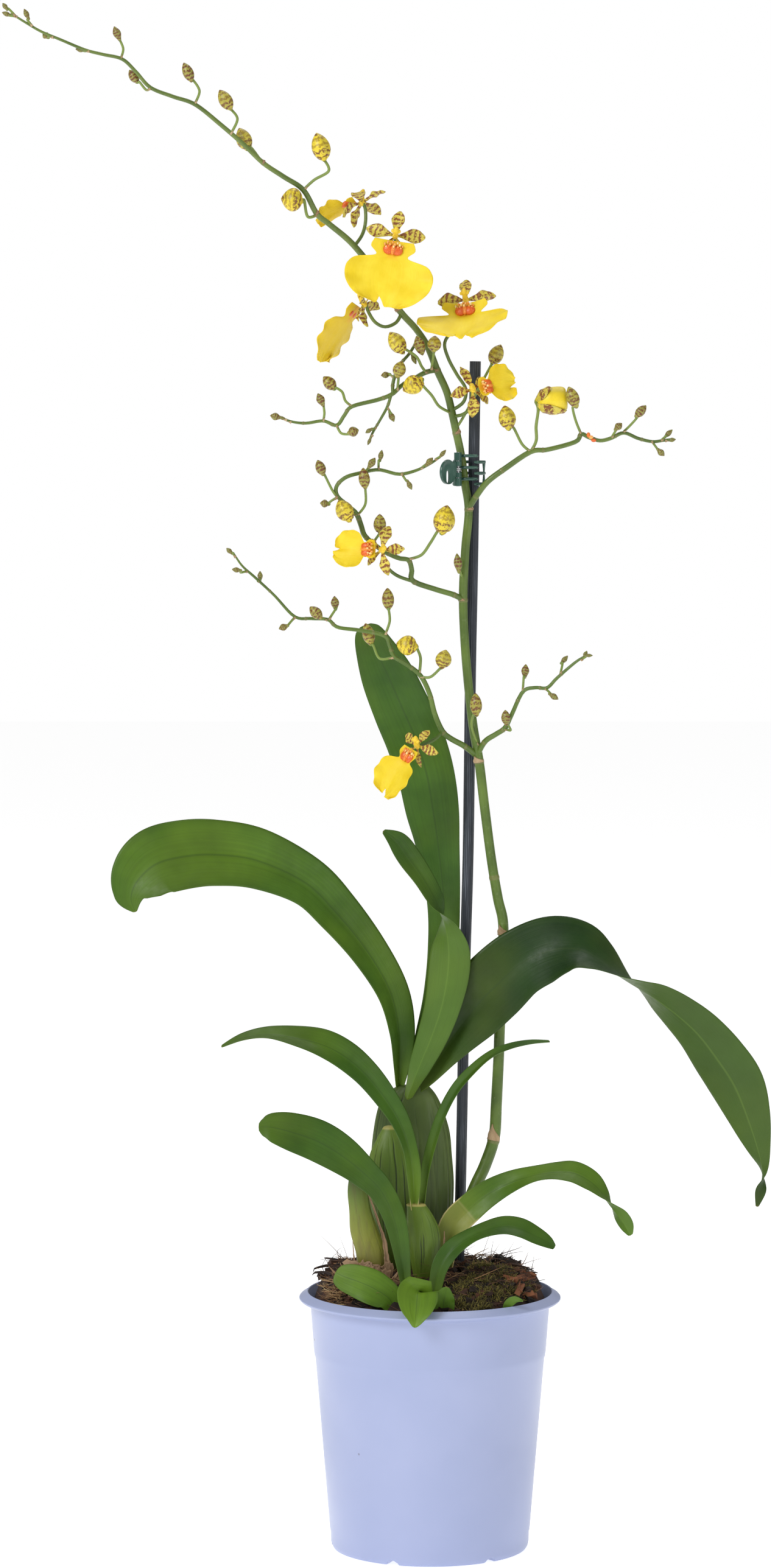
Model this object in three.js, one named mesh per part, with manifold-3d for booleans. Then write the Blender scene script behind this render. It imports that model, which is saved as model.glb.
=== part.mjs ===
// An oncidium orchid in its plastic grow pot: a rooted clump of pseudobulbs and strap leaves, one tall
// branching flower stem clipped to a rod, buds on fine stalks and seven open blooms.
// Millimetres, +Z up, origin on the pot's axis at the surface it stands on. Seen from the front, +X is
// to the right and +Y is away.

import * as THREE from 'three';
import { mergeVertices } from 'three/addons/utils/BufferGeometryUtils.js';
import Module from 'manifold-3d';

const wasm = await Module();
wasm.setup();

// ---- driving dimensions ----

const CLEARANCE = 0.3; // between two pieces that meet

const POT = {
  footRadius: 43.3, cornerRadius: 45.3, stepRadius: 52.6, neckRadius: 54.8, rimRadius: 60, mouthRadius: 55.9,
  stepHeight: 89, neckHeight: 112.2, rimHeight: 115.6, height: 119, wall: 1.3, floor: 4, stepOut: 0.45,
  notches: 6, notchRadius: 3, notchAngle: -112.6, sides: 28,
};
const MEDIUM = { gap: 0.8, edgeHeight: 113, moundHeight: 17, sides: 18 };
const LEAF = { thickness: 0.8, closingShare: 0.35, slotPlay: 0.9, slotRows: 2.2 };
const BLOOM = { thickness: 0.7, columnFoot: 0.9, pedicelRadii: [0.75, 0.8] };
const BUD_STALK_RADIUS = 0.5;
const CLIP = {
  hinge: [12.5, 2.5], bottom: 487.8, top: 503.3, pinRadius: 0.8, boreRadius: 1.1, knuckleRadius: 1.8,
  loopCentre: [17.7, 10.3], loopInner: [6.2, 5.5], fingerWidth: 1.4, fingerHeight: 1.6,
  padRadius: 5.6, padThickness: 1.3, padReach: 7.75, padHeight: 494.4, slot: [2.3, 5.6],
  wireRadius: 0.3, coilRadius: 1.4,
};
const FRONT_JAW = {
  levels: [500.8, 495.5, 490.3], sweep: [-127, -55], palms: [[-127, -116]], padAngle: 233,
  knuckles: [[491.8, 494], [497, 499.2]], web: [[12.6, 2.5], [13, 0.9], [14.6, 4.2], [13.3, 5.4]], steps: 4,
};
const BACK_JAW = {
  levels: [497.9, 492.8, 487.9], sweep: [-142, -432], palms: [[-142, -170], [-342, -372]], padAngle: 98,
  knuckles: [[488, 491.5], [499.5, 503]], web: [[10.9, 2.5], [12.4, 2.7], [12, 6.2], [10.7, 9.2]], steps: 10,
};

// ---- control points: [x, y, z, half width or radius, roll in degrees] ----

// Blades. Roll 0 shows the upper face to the front; 90 turns it edge on and 180 shows the underside.
// fold: how far the two halves rise from the midrib, in degrees, at the base and in the open blade.
const LEAVES = {
  leaf_arching_left: { fold: [62, 12], cuts: [17, 4], rows: [
    [-14, 10, 210, 2.6, 0], [-14, 8, 222, 5.2, 20], [-14.6, 6, 238.6, 8, 35], [-18.6, 4, 256.8, 9.4, 38],
    [-29.3, 1, 276, 10.6, 36], [-43.4, -3, 294, 12.1, 34], [-57.2, -7, 307.8, 13, 33],
    [-79, -12, 318.2, 15.2, 30], [-98, -16.5, 321.2, 16.5, 28], [-112, -20, 320.6, 17.3, 26],
    [-124, -22.5, 317.5, 17, 23], [-132, -24.5, 310.5, 13.8, 18], [-135.2, -25.5, 303, 8, 14],
    [-133.4, -26, 296.2, 0.8, 10]] },
  leaf_upright_back: { fold: [50, 8], cuts: [13, 4], rows: [
    [-8, 12.5, 210, 2.3, -15], [-4, 13.5, 230, 4, -15], [2.5, 14, 252.5, 5.8, -15],
    [6.2, 14, 275, 7.2, -15], [6.5, 14, 297, 7.9, -15], [4, 13, 322, 10.4, -15], [1.5, 12, 339, 12.8, -15],
    [-1.5, 12, 356, 13.6, -15], [-6.5, 12, 372, 14, -15], [-12.5, 11, 386, 13.8, -15],
    [-19.5, 10, 402, 12.6, -15], [-25.5, 9, 415, 9.2, -15], [-28.5, 9, 422, 6.2, -15],
    [-29.5, 9, 424.5, 2.5, -15]] },
  leaf_upright_front: { fold: [40, 10], cuts: [13, 4], rows: [
    [-10.5, 3.5, 207, 2.2, 170], [-7.5, -1, 216, 4, 170], [-4.5, -3, 224, 5.6, 168],
    [1, -4, 237.5, 7.4, 168],
    [5.5, -5, 251.5, 8.6, 168], [8, -5.5, 265.5, 9.8, 165], [8.5, -5.5, 277, 9.6, 155],
    [7, -5.5, 288, 7.4, 120], [2.5, -5.5, 298.5, 6.2, 60], [-3.5, -6, 309.5, 6, 42], [-10, -7, 319, 6.4, 35],
    [-15.2, -8, 326.5, 5.2, 30], [-21.5, -9, 331.5, 1, 30]] },
  leaf_arching_right: { fold: [45, 10], cuts: [21, 4], rows: [
    [-9.5, 8.5, 208, 2.2, 0], [-1.5, 5.5, 218, 6, -5], [8, 3.5, 232.6, 11, -10], [19, 0, 248, 16, -12],
    [29.5, -4.5, 259.6, 17, -15], [41.5, -8, 270.6, 16.4, -22], [55, -11, 277, 16.2, -30],
    [67, -14, 277.8, 15, -45], [76, -16, 273.6, 13.6, -62], [86, -18, 266.2, 12, -84],
    [95, -19, 260.6, 10.5, -105], [103, -20, 255.6, 11, -125], [112.5, -21, 248.4, 11.6, -140],
    [121.5, -22, 240, 12.9, -147], [130, -23, 229, 14.4, -150], [137.8, -24, 217, 14.6, -150],
    [144.2, -25, 202.5, 11.2, -150], [149, -26, 187.5, 5.8, -150], [150.8, -26, 178, 3.2, -110],
    [149.5, -27, 169.5, 3, -30], [148, -27, 162, 0.8, -30]] },
  leaf_mid_left: { fold: [60, 14], cuts: [16, 2], rows: [
    [-7.5, -23, 160, 2.8, 5], [-7.8, -23, 174.5, 4.1, 10], [-10, -23, 188.3, 4.2, 30],
    [-14.6, -23, 201, 5.4, 35], [-21.7, -24, 212.3, 6.3, 35], [-29.7, -25, 222.2, 7.2, 38],
    [-38.6, -26, 230, 8.2, 40], [-48.3, -27, 235.4, 8.5, 45], [-60, -28, 238.5, 8, 60],
    [-73.5, -29, 240.6, 6.3, 72], [-84.5, -30, 239.2, 4.5, 74], [-94.5, -31, 235.5, 1, 70]] },
  leaf_thin_right: { fold: [40, 24], cuts: [12, 2], rows: [
    [-3, -20, 160, 1.8, -50], [-1.4, -17, 175, 3.2, -52], [1.6, -16, 188.5, 4, -55],
    [6.2, -15, 202, 4.2, -58], [12.6, -13, 213.6, 4.2, -62], [21, -12, 222.8, 4.1, -65],
    [28.8, -11, 229, 3.8, -68], [37, -10, 232.4, 3.2, -70], [46, -9, 234.3, 2.4, -72],
    [54.5, -8, 235, 0.9, -70]] },
  leaf_low_left: { fold: [60, 10], cuts: [14, 4], rows: [
    [-11, -35.5, 122, 2.8, 5], [-12.4, -36.5, 136, 3.8, 8], [-16.2, -38, 156.6, 5.4, 20],
    [-22.1, -38, 170.2, 6, 24], [-30, -39, 178.8, 7.2, 25], [-40.4, -39, 187.2, 9.1, 25],
    [-51.2, -40, 193.8, 9.8, 22], [-62.5, -41, 198, 9, 20], [-71, -42, 200.3, 7, 18],
    [-75.5, -42, 200.5, 4.1, 15], [-77.5, -42, 200.5, 1.5, 15]] },
  leaf_sheathed_right: { fold: [38, 14], cuts: [18, 2], rows: [
    [8, -10, 121, 4.5, -45], [8, -10.5, 138, 6.3, -28], [11, -10.5, 150.8, 7.2, -10],
    [18.6, -10, 158.8, 6.9, -15], [27, -10, 165.3, 6.4, -22], [37, -11, 170.4, 6, -40],
    [48, -13, 174, 6.1, -60], [57.6, -15, 175.6, 6.8, -62], [65.4, -17, 175.4, 6.8, -52],
    [73, -19, 171.6, 6.3, -50], [78.4, -20, 166.2, 5, -65], [82.2, -20.5, 161.3, 4.4, -100],
    [86, -21, 156.5, 4.7, -135], [89, -21.5, 152, 4, -145], [91, -22, 148, 1.2, -150]] },
  leaf_low_right: { fold: [45, 14], cuts: [12, 2], rows: [
    [1.5, -33, 120, 3.2, 0], [4, -33, 134.3, 4.2, -10], [9.8, -32, 142.8, 4.9, -35],
    [17.7, -31, 148.2, 5.2, -55], [25.5, -31, 151.6, 5.5, -60], [33.3, -32, 153.5, 5.9, -55],
    [40.6, -33, 152.6, 5.9, -48], [47.6, -34, 149.4, 4.9, -45], [53, -35, 146.7, 3.2, -40],
    [56, -35, 144.5, 1.2, -40]] },
  leaf_front_left: { fold: [20, 8], cuts: [6, 2], rows: [
    [-16.6, -42.4, 115.4, 3.6, 30], [-18.6, -41.8, 122, 6.6, 28], [-25.6, -40.6, 126.8, 8.2, 22],
    [-33, -38.8, 129.8, 7.5, 18], [-39, -37, 131.6, 6.2, 16], [-43, -35.5, 133.2, 3.6, 16]] },
  leaf_front_tip: { fold: [40, 24], cuts: [8, 2], rows: [
    [-9, -39, 121, 2.8, 0], [-9.8, -42.5, 129.5, 4.2, 0], [-8.8, -50, 127.2, 8.8, 0],
    [-7, -56.5, 123.4, 10.2, 0],
    [-6.8, -61, 119.4, 8, 0], [-7.1, -63.5, 116, 4, 0], [-7.5, -64.5, 113.6, 0.8, 0]] },
  leaf_young: { fold: [20, 10], cuts: [4, 2], rows: [
    [5.6, -46.5, 112, 4.2, 0], [5.6, -47, 120, 5.1, 5], [6.2, -48, 125, 4.4, 5], [7.2, -49, 129, 1.3, 5]] },
};

// Pseudobulbs: [x, y, z, half width, half depth] from the root to the crown, with lengthwise ribs.
const BULBS = {
  pseudobulb_back: { ribs: 8, sides: 16, rows: [
    [-9, 9, 121, 8, 5], [-8.5, 9, 130, 13, 7], [-8, 9, 146, 17.5, 8.5], [-8, 9, 165, 19, 9],
    [-8.5, 9, 180, 18.6, 8.5], [-8.5, 9, 192, 17.4, 7.6], [-9, 9, 203, 14.5, 6.2], [-8.5, 9, 209, 11, 5],
    [-7.5, 9, 213, 6.5, 3.4]] },
  pseudobulb_left: { ribs: 6, sides: 12, rows: [
    [-13, -8, 119, 6, 4], [-13.5, -8, 131, 9, 5.2], [-15, -8, 146, 11, 6], [-16.5, -8, 165, 11.8, 6],
    [-17, -8, 181, 11, 5.6], [-17.5, -8, 190, 7, 4], [-18.5, -8, 196.5, 2.4, 1.6]] },
  pseudobulb_front: { ribs: 6, sides: 12, rows: [
    [-4, -22, 119, 2.6, 2.4], [-4, -22, 127, 3.4, 3], [-3, -22, 135, 5.8, 4.6], [-2.8, -22, 143.5, 7.4, 5.5],
    [-3.5, -22, 151, 7.5, 5.4], [-5, -22, 158, 5.8, 4.2], [-6.8, -22, 163, 4.1, 3]] },
  sheath_left: { ribs: 5, sides: 10, rows: [
    [-27.2, -24, 119, 4.9, 3.5], [-26.8, -24, 131, 6.5, 4.1], [-27, -24, 140, 6.9, 4.1],
    [-29.9, -24, 150, 6.5, 3.5],
    [-31.9, -24.5, 160, 5, 2.6], [-32.9, -25, 168.5, 4.7, 1.9], [-33.2, -25.5, 176, 3.6, 1.2]] },
};

// The flower stem and the rod: [x, y, z, radius].
const STEM = [
  [6, -2, 120, 2.4], [9, -1, 139, 2.6], [13, 0, 150, 2.7], [17.5, 1, 159.5, 2.8],
  [21.5, 2, 168.5, 2.8], [25.5, 3, 177, 2.8], [29.5, 4, 189.5, 2.7], [30.5, 4.5, 205.5, 2.6],
  [31.5, 5, 226, 2.5], [32, 5, 242, 2.5], [33, 5, 264.5, 2.4], [33.5, 5, 287, 2.4],
  [31, 5.5, 299.5, 2.3], [28, 6, 317.5, 2.2], [25, 6.5, 340.5, 2.2], [22.5, 6.5, 361, 2.2],
  [19.5, 6.5, 379, 2.1], [17, 6.5, 401.5, 2.05], [15.5, 6.5, 421, 2], [15, 6.5, 439, 2],
  [16, 7, 459.5, 1.95], [17.5, 8, 476.5, 1.9], [15.8, 8.7, 489, 1.85], [14.2, 8.9, 501, 1.8],
  [12, 8.5, 511.5, 1.8], [10, 8, 520.5, 1.75], [7.5, 7.5, 530.5, 1.7], [3, 6.5, 540.5, 1.65],
  [-1, 6, 550.5, 1.6], [-6.5, 5, 559, 1.5], [-14.5, 4, 568, 1.5], [-23.5, 3, 582.5, 1.45],
  [-35, 1, 597, 1.4], [-45.5, 0, 606, 1.3], [-51.5, -1, 611, 1.3], [-57.5, -3, 621.5, 1.2],
  [-66.5, -4, 627.5, 1.15], [-75.5, -5, 633.5, 1.1], [-84, -6, 641.5, 1.05], [-94.5, -8, 650.5, 1],
  [-106, -9, 659.5, 0.95], [-116, -10, 663, 0.9], [-126, -11, 667, 0.85], [-132.5, -12, 674, 0.8],
  [-138.5, -13, 679.5, 0.8], [-147, -14, 681.5, 0.75], [-155, -15, 683.5, 0.7], [-166, -16, 688, 0.65],
  [-174.5, -17, 691.5, 0.6], [-181.5, -18, 695.5, 0.55], [-188, -19, 699.5, 0.45],
];
const STAKE = [
  [11.5, 12.5, 40, 2.5], [13.5, 12.5, 134, 2.5], [14.5, 12.5, 179, 2.5], [16, 12.5, 264, 2.5],
  [17.5, 12, 320, 2.5], [18.5, 12, 404, 2.5], [19.5, 12, 459.5, 2.5], [20, 12, 506.5, 2.5],
  [20.5, 12, 544.5, 2.5],
];
// Papery bracts at the stem's joints: [x, y, z at the joint, stem radius, height].
const BRACTS = [
  [29.2, 4, 189, 2.8, 9.5], [33.4, 5, 283, 2.5, 6], [21.2, 6.5, 362, 2.3, 4],
];

// Sprays. Each bud is [tip, base, radius, points of its stalk down to the twig it grows from].
const SPRAYS = {
  flower_stem: { twigs: [], buds: [
    [[-191.5, -20, 704], [-189.5, -20, 701], 1.1, [[-189, -19.5, 701.5], [-186, -19, 698.5]]],
    [[-192, -18, 700], [-188, -18, 698.5], 1.1, [[-188.5, -18, 698.5], [-185, -18.5, 698]]],
    [[-182, -19, 701.5], [-180, -19, 697], 1.2, [[-180.5, -18.5, 696.5], [-178.5, -18, 694]]],
    [[-174, -14.5, 691], [-171.5, -14.5, 689], 1.6, [[-171.5, -15.5, 689.5], [-169, -16.5, 689]]],
    [[-159.5, -13, 684], [-155, -13, 683.5], 1.2, [[-155.5, -14, 683], [-153, -15, 683]]],
    [[-142, -15, 694], [-139.5, -15, 688], 1.8, [[-139.5, -14.5, 688], [-138, -13.5, 684],
      [-139, -13, 680]]],
    [[-135.5, -9, 675], [-132, -9, 669.5], 2.2, [[-131, -9.5, 669.5], [-128, -10.5, 666],
      [-126, -11, 666.5]]],
    [[-111, -12, 678], [-107.5, -12, 670], 2.5, [[-107, -11, 670.5], [-104, -10, 665.5], [-106, -9, 660]]],
    [[-95, -10, 666], [-90, -10, 657.5], 3.1, [[-90, -9, 657.5], [-87, -8.5, 653], [-90, -7.5, 646.5]]],
    [[-86.5, 0, 649.5], [-82.5, 0, 640], 3.6, [[-81, -2.5, 640.5], [-76.5, -5, 634.5]]],
    [[-51.5, -6, 647], [-48, -6, 635], 4.3, [[-48, -5, 635], [-46, -4.5, 630], [-52.5, -4, 626],
      [-57, -3, 622]]],
    [[-67.5, -6, 617.5], [-58, -6, 616.5], 5.4, [[-57, -5, 616.5], [-55.5, -3.5, 609.5], [-51, -1, 610.5]]],
    [[12, 0, 457.5], [13, 0, 449], 1.9, [[13.5, 3, 449], [15, 6.5, 445.5]]],
    [[20.5, -2, 394], [21, -2, 384], 2.8, [[19.5, 0.5, 383.5], [19, 3, 378], [22, 5.5, 369.5]]],
    [[-12.5, -8, 531], [-4, -8, 536], 4.4, [[-3.5, -7, 533.5], [0.5, -3, 529], [4, 2, 524], [9.5, 8, 521]]],
    [[32, 4, 552], [28, 5, 543.5], 3.4, [[27.5, 5, 542.5], [24, 6, 536], [15.5, 7.5, 520],
      [11, 8.3, 513]]]] },
  spray_top_left: { twigs: [
    [[3, 6.5, 540.5, 1.2], [-2, 4, 539.5, 1.15], [-7.5, 2, 536.5, 1.1], [-13, 0, 533.5, 1],
      [-17.5, -2, 529.5, 1], [-24, -3, 527, 0.95], [-35.5, -5, 524, 0.9], [-39, -6, 520, 0.85],
      [-42.5, -7, 515.5, 0.85], [-48.5, -8, 517.5, 0.75], [-56, -9, 516.5, 0.7], [-62, -10, 517, 0.6],
      [-66.5, -10, 518.5, 0.5]],
    [[-18, -2, 529, 0.75], [-19.5, -3, 524, 0.65], [-22.5, -5, 518.5, 0.6], [-26, -6, 512.5, 0.55],
      [-27.5, -7, 509, 0.5]],
    [[-17, -2, 529.5, 0.8], [-17, -1, 534.5, 0.8], [-14.5, 1, 542, 0.75], [-9.5, 2, 548, 0.7],
      [-6, 2.2, 554, 0.65]]], buds: [
    [[-48.5, -2, 537.5], [-43.5, -2, 532], 2.8, [[-43, -3, 532.5], [-40, -3.5, 530.5], [-38.5, -4, 526.5],
      [-35.5, -5, 524]]],
    [[-51, -9, 530], [-48.5, -9, 524.5], 1.9, [[-48.5, -8.5, 525], [-48, -8.5, 521], [-48.5, -8, 517.5]]],
    [[-32.5, -10, 513.5], [-37, -10, 512], 2.3, [[-37, -9, 511.5], [-40.5, -8, 512], [-42.5, -7, 515.5]]],
    [[-28.5, -7.5, 506.5], [-27, -7.5, 510], 0.8, [[-27.5, -7, 509], [-26.5, -6.5, 511]]],
    [[-29.5, -8, 512], [-26.5, -8, 514], 1, [[-26.5, -7, 513.5], [-25, -5.5, 514.5]]],
    [[-16.5, -1, 517], [-18.5, -1, 521.5], 1.4, [[-18, -2, 521], [-19.5, -3, 523.5]]],
    [[-22.5, 2, 538], [-18.5, 2, 538.5], 1.5, [[-18.5, 1, 538.5], [-16.5, 0, 537]]],
    [[-13, -6, 544.5], [-15, -6, 537.5], 3, [[-14.5, -4, 537.5], [-15, -1.5, 531.5]]],
    [[-6.5, -1, 543], [-8.5, -1, 547.5], 1.1, [[-8.5, 0.5, 548], [-9.5, 2, 548.5]]],
    [[-3.5, -2, 547], [-6, -2, 555], 2.5, [[-6, 0, 554.5], [-7.5, 2.2, 551.5]]],
    [[2, -2, 556], [1.5, -2, 549], 3.2, [[1.5, -1, 548.5], [0.5, 3, 541]]],
    [[-18.5, -6, 557.5], [-12.5, -6, 548.5], 3.9, [[-12, -5, 550], [-6.5, -3, 546.5], [-4, -1, 542],
      [-2, 3.5, 539.5]]],
    [[-65, -10, 518], [-69, -10, 519.5], 0.8, [[-65.5, -10, 518], [-63, -10, 517]]],
    [[-72.5, -10.5, 520], [-68, -10, 519], 1.7, [[-68, -10, 519], [-65, -10, 518]]]] },
  spray_top_right: { twigs: [
    [[17.4, 8, 477.5, 1.4], [21, 4.4, 483.5, 1.4], [26, 0.5, 490, 1.35], [34, 0, 496, 1.3],
      [45.5, 1, 503.5, 1.2], [53.5, 2, 504.5, 1.1], [66, 4, 508, 1.05], [68.5, 5, 511.5, 1],
      [72, 5, 510, 0.95], [77, 6, 508.5, 0.9], [82, 7, 509.5, 0.9], [88, 8, 512, 0.85],
      [94.5, 9, 509.5, 0.8], [101, 10, 508, 0.75], [106, 11, 508.5, 0.7], [110, 12, 509, 0.6]]], buds: [
    [[33.5, -3, 524.5], [35.5, -3, 514], 4, [[37.5, -1.5, 514.5], [41.5, -0.5, 507], [45.5, 1, 503.5]]],
    [[62, 6, 527.5], [48.5, 6, 526], 6.1, [[49, 5, 522.5], [48, 3.5, 515], [48, 2, 508.5],
      [45.5, 1, 503.5]]],
    [[62.5, -2, 533], [66, -2, 524], 2.9, [[64.5, 0.5, 523.5], [66, 3.5, 517.5], [68.5, 5, 511.5]]],
    [[87, 4, 516.5], [84, 4, 513.5], 1.7, [[84.5, 5.5, 513.5], [82.5, 7, 510]]],
    [[98, 5, 524.5], [93.5, 5, 519.5], 2.1, [[94, 6, 519], [91, 7, 515.5], [88, 8, 512.5]]],
    [[110.5, 13, 513.5], [107, 13, 510], 1.2, [[107.5, 12, 510.5], [105, 10.5, 508.5]]],
    [[106.5, 7, 501.5], [103.5, 7, 504.5], 1.5, [[103.5, 8.5, 504.5], [101, 10, 508]]],
    [[112, 12, 509], [108.5, 12, 508.5], 1, [[109, 11.8, 508.8], [107, 11, 508.5]]]] },
  spray_mid_left: { twigs: [
    [[15, 6.5, 436, 1.3], [10.5, 3, 438.5, 1.3], [2.5, 0, 441, 1.25], [-8, -4, 445, 1.25],
      [-8.5, -5, 450, 1.15], [-10, -6, 454.5, 1.1], [-14.5, -7, 455.5, 1.1], [-21, -8, 458.5, 1.1],
      [-26.5, -9, 462.5, 1.15], [-30, -9, 466, 1.2], [-31.5, -10, 470.5, 1.2], [-33.5, -11, 475.5, 1.2],
      [-37, -12, 479, 1], [-42, -13, 483.5, 0.95], [-42.5, -13, 488, 0.9], [-38.5, -13, 492, 0.9],
      [-32, -12, 494, 0.85], [-23.5, -11, 495.5, 0.8], [-14.5, -10, 493.5, 0.8], [-7, -9, 495, 0.7],
      [-0.5, -8, 498, 0.6], [4, -7, 501, 0.5]]], buds: [
    [[7.5, -10, 479.5], [5, -10, 467], 5, [[3.5, -9, 468], [0, -8, 462.5], [-4, -7, 457], [-9.5, -6, 455]]],
    [[-23, -7.5, 475.5], [-23, -7.5, 467], 2.9, [[-23.5, -7.5, 466], [-26, -9, 462.5]]],
    [[-41.5, -18, 482], [-36.5, -18, 473], 4.1, [[-36, -14.5, 475], [-33.5, -11, 475.5]]],
    [[-30.5, -16, 496.5], [-29.5, -16, 487.5], 2.6, [[-29.5, -14.5, 487], [-29.5, -12.5, 480],
      [-33, -11, 475]]],
    [[-51, -17, 500], [-48.5, -17, 493.5], 2.3, [[-48, -15.5, 493.5], [-44.5, -14.5, 486.5],
      [-42, -13, 483]]],
    [[-50, -12, 480.5], [-46, -12, 480], 1.8, [[-45.5, -12.5, 481], [-42.5, -13, 483]]],
    [[-25, -15, 501], [-28, -15, 496.5], 1.6, [[-28, -13.5, 496.5], [-30, -12, 494]]],
    [[-22, -9, 504.5], [-23, -9, 499.5], 1.2, [[-23.5, -10, 499.5], [-23.5, -11, 495.5]]],
    [[-8.5, -13, 486.5], [-10.5, -13, 490.5], 1.2, [[-11, -11.5, 490.5], [-13, -10, 493.5]]],
    [[1, -10, 501], [-2, -10, 497.5], 1.4, [[-2, -9, 498], [-4.5, -8.5, 496]]],
    [[7, -7, 504.5], [4, -7, 501], 1, [[4.2, -7, 501.3], [2, -7.5, 500]]]] },
  spray_low_left: { twigs: [
    [[21, 6.5, 365, 1.4], [15.5, 2, 369.5, 1.35], [9.5, -1, 373, 1.3], [5.5, -2, 376.5, 1.3],
      [2, -3, 384.5, 1.2], [-0.5, -4, 394, 1.15], [-4.5, -5, 402, 1.1], [-10.5, -7, 407, 1.05],
      [-16.5, -9, 411, 1], [-18.5, -10, 416, 0.95], [-21, -11, 420.5, 0.95], [-32, -13, 423, 0.9],
      [-42, -15, 424.5, 0.85], [-46.5, -16, 428, 0.8], [-54, -17, 428.5, 0.75], [-61.5, -18, 429.5, 0.7],
      [-70.5, -19, 439, 0.6], [-79, -20, 447, 0.6], [-85, -21, 452.5, 0.5], [-89, -22, 458.5, 0.4]]], buds: [
    [[-92, -22, 460.5], [-89.5, -22, 458], 1.1, [[-89.5, -22, 458.5], [-88, -21.5, 456.5]]],
    [[-89.5, -25, 451], [-85.5, -25, 450.5], 1.2, [[-85.5, -23, 449.5], [-83, -20.5, 450]]],
    [[-77, -16, 450], [-77, -16, 445.5], 1.2, [[-77, -18, 446], [-78, -20, 445.5]]],
    [[-68.5, -22, 424], [-64.5, -22, 425.5], 1.6, [[-64.5, -20, 425.5], [-61.5, -18, 429]]],
    [[-54.5, -20, 434], [-49.5, -20, 429], 2.5, [[-49.5, -18, 429], [-47, -16, 428]]],
    [[-43.5, -11, 438.5], [-43, -11, 432.5], 1.9, [[-43, -13.5, 432.5], [-46, -16, 428]]],
    [[-19.5, -7, 442], [-19, -7, 432.5], 2.8, [[-19, -8.5, 432.5], [-18.5, -9.5, 427], [-20.5, -11, 421]]],
    [[-29.5, -7, 426], [-27, -7, 416.5], 2.9, [[-26, -7.5, 416], [-23, -8.5, 410], [-17, -9, 410.5]]],
    [[-15.5, -13, 417], [-6.5, -13, 415.5], 4.6, [[-6, -10.5, 414.5], [-4.5, -7.5, 410], [-5, -5, 403]]],
    [[7, -9, 414], [5, -9, 406], 3.7, [[4.5, -7.5, 405.5], [0, -6.5, 401.5], [-4.5, -5, 401.5]]]] },
  spray_low_right: { twigs: [
    [[21.5, 6.5, 365, 1.3], [25, 3, 371.5, 1.25], [30, 1, 375, 1.2], [34, -1, 378, 1.15],
      [37, -2, 384, 1], [42, -3, 394.5, 0.9], [47.5, -4, 396.5, 0.85], [53, -5, 396.5, 0.8],
      [57.5, -6, 401, 0.75], [65.5, -7, 408, 0.65], [70, -8, 411, 0.5]]], buds: [
    [[34, -6, 386.5], [34.5, -6, 380], 2.1, [[35, -4.5, 380], [36.5, -2.5, 377], [34, -1, 377.5]]],
    [[43.5, 1, 407], [43, 1, 401], 1.8, [[42.5, -1, 401], [42, -3, 395]]],
    [[58, -10, 391.5], [54, -10, 394], 1.4, [[54.5, -7.5, 394], [52.5, -5, 396]]],
    [[62.5, -2, 411], [59.5, -2, 407.5], 1.2, [[60, -4, 407.5], [59, -6.5, 403]]],
    [[71, -8, 413.5], [69.5, -8, 410.5], 1, [[69.5, -8, 410.5], [68.5, -7.5, 409.5]]],
    [[73.5, -11, 411.5], [70, -11, 411.5], 0.8, [[70.5, -9.5, 411], [68.5, -7.5, 409.5]]]] },
};

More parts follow.
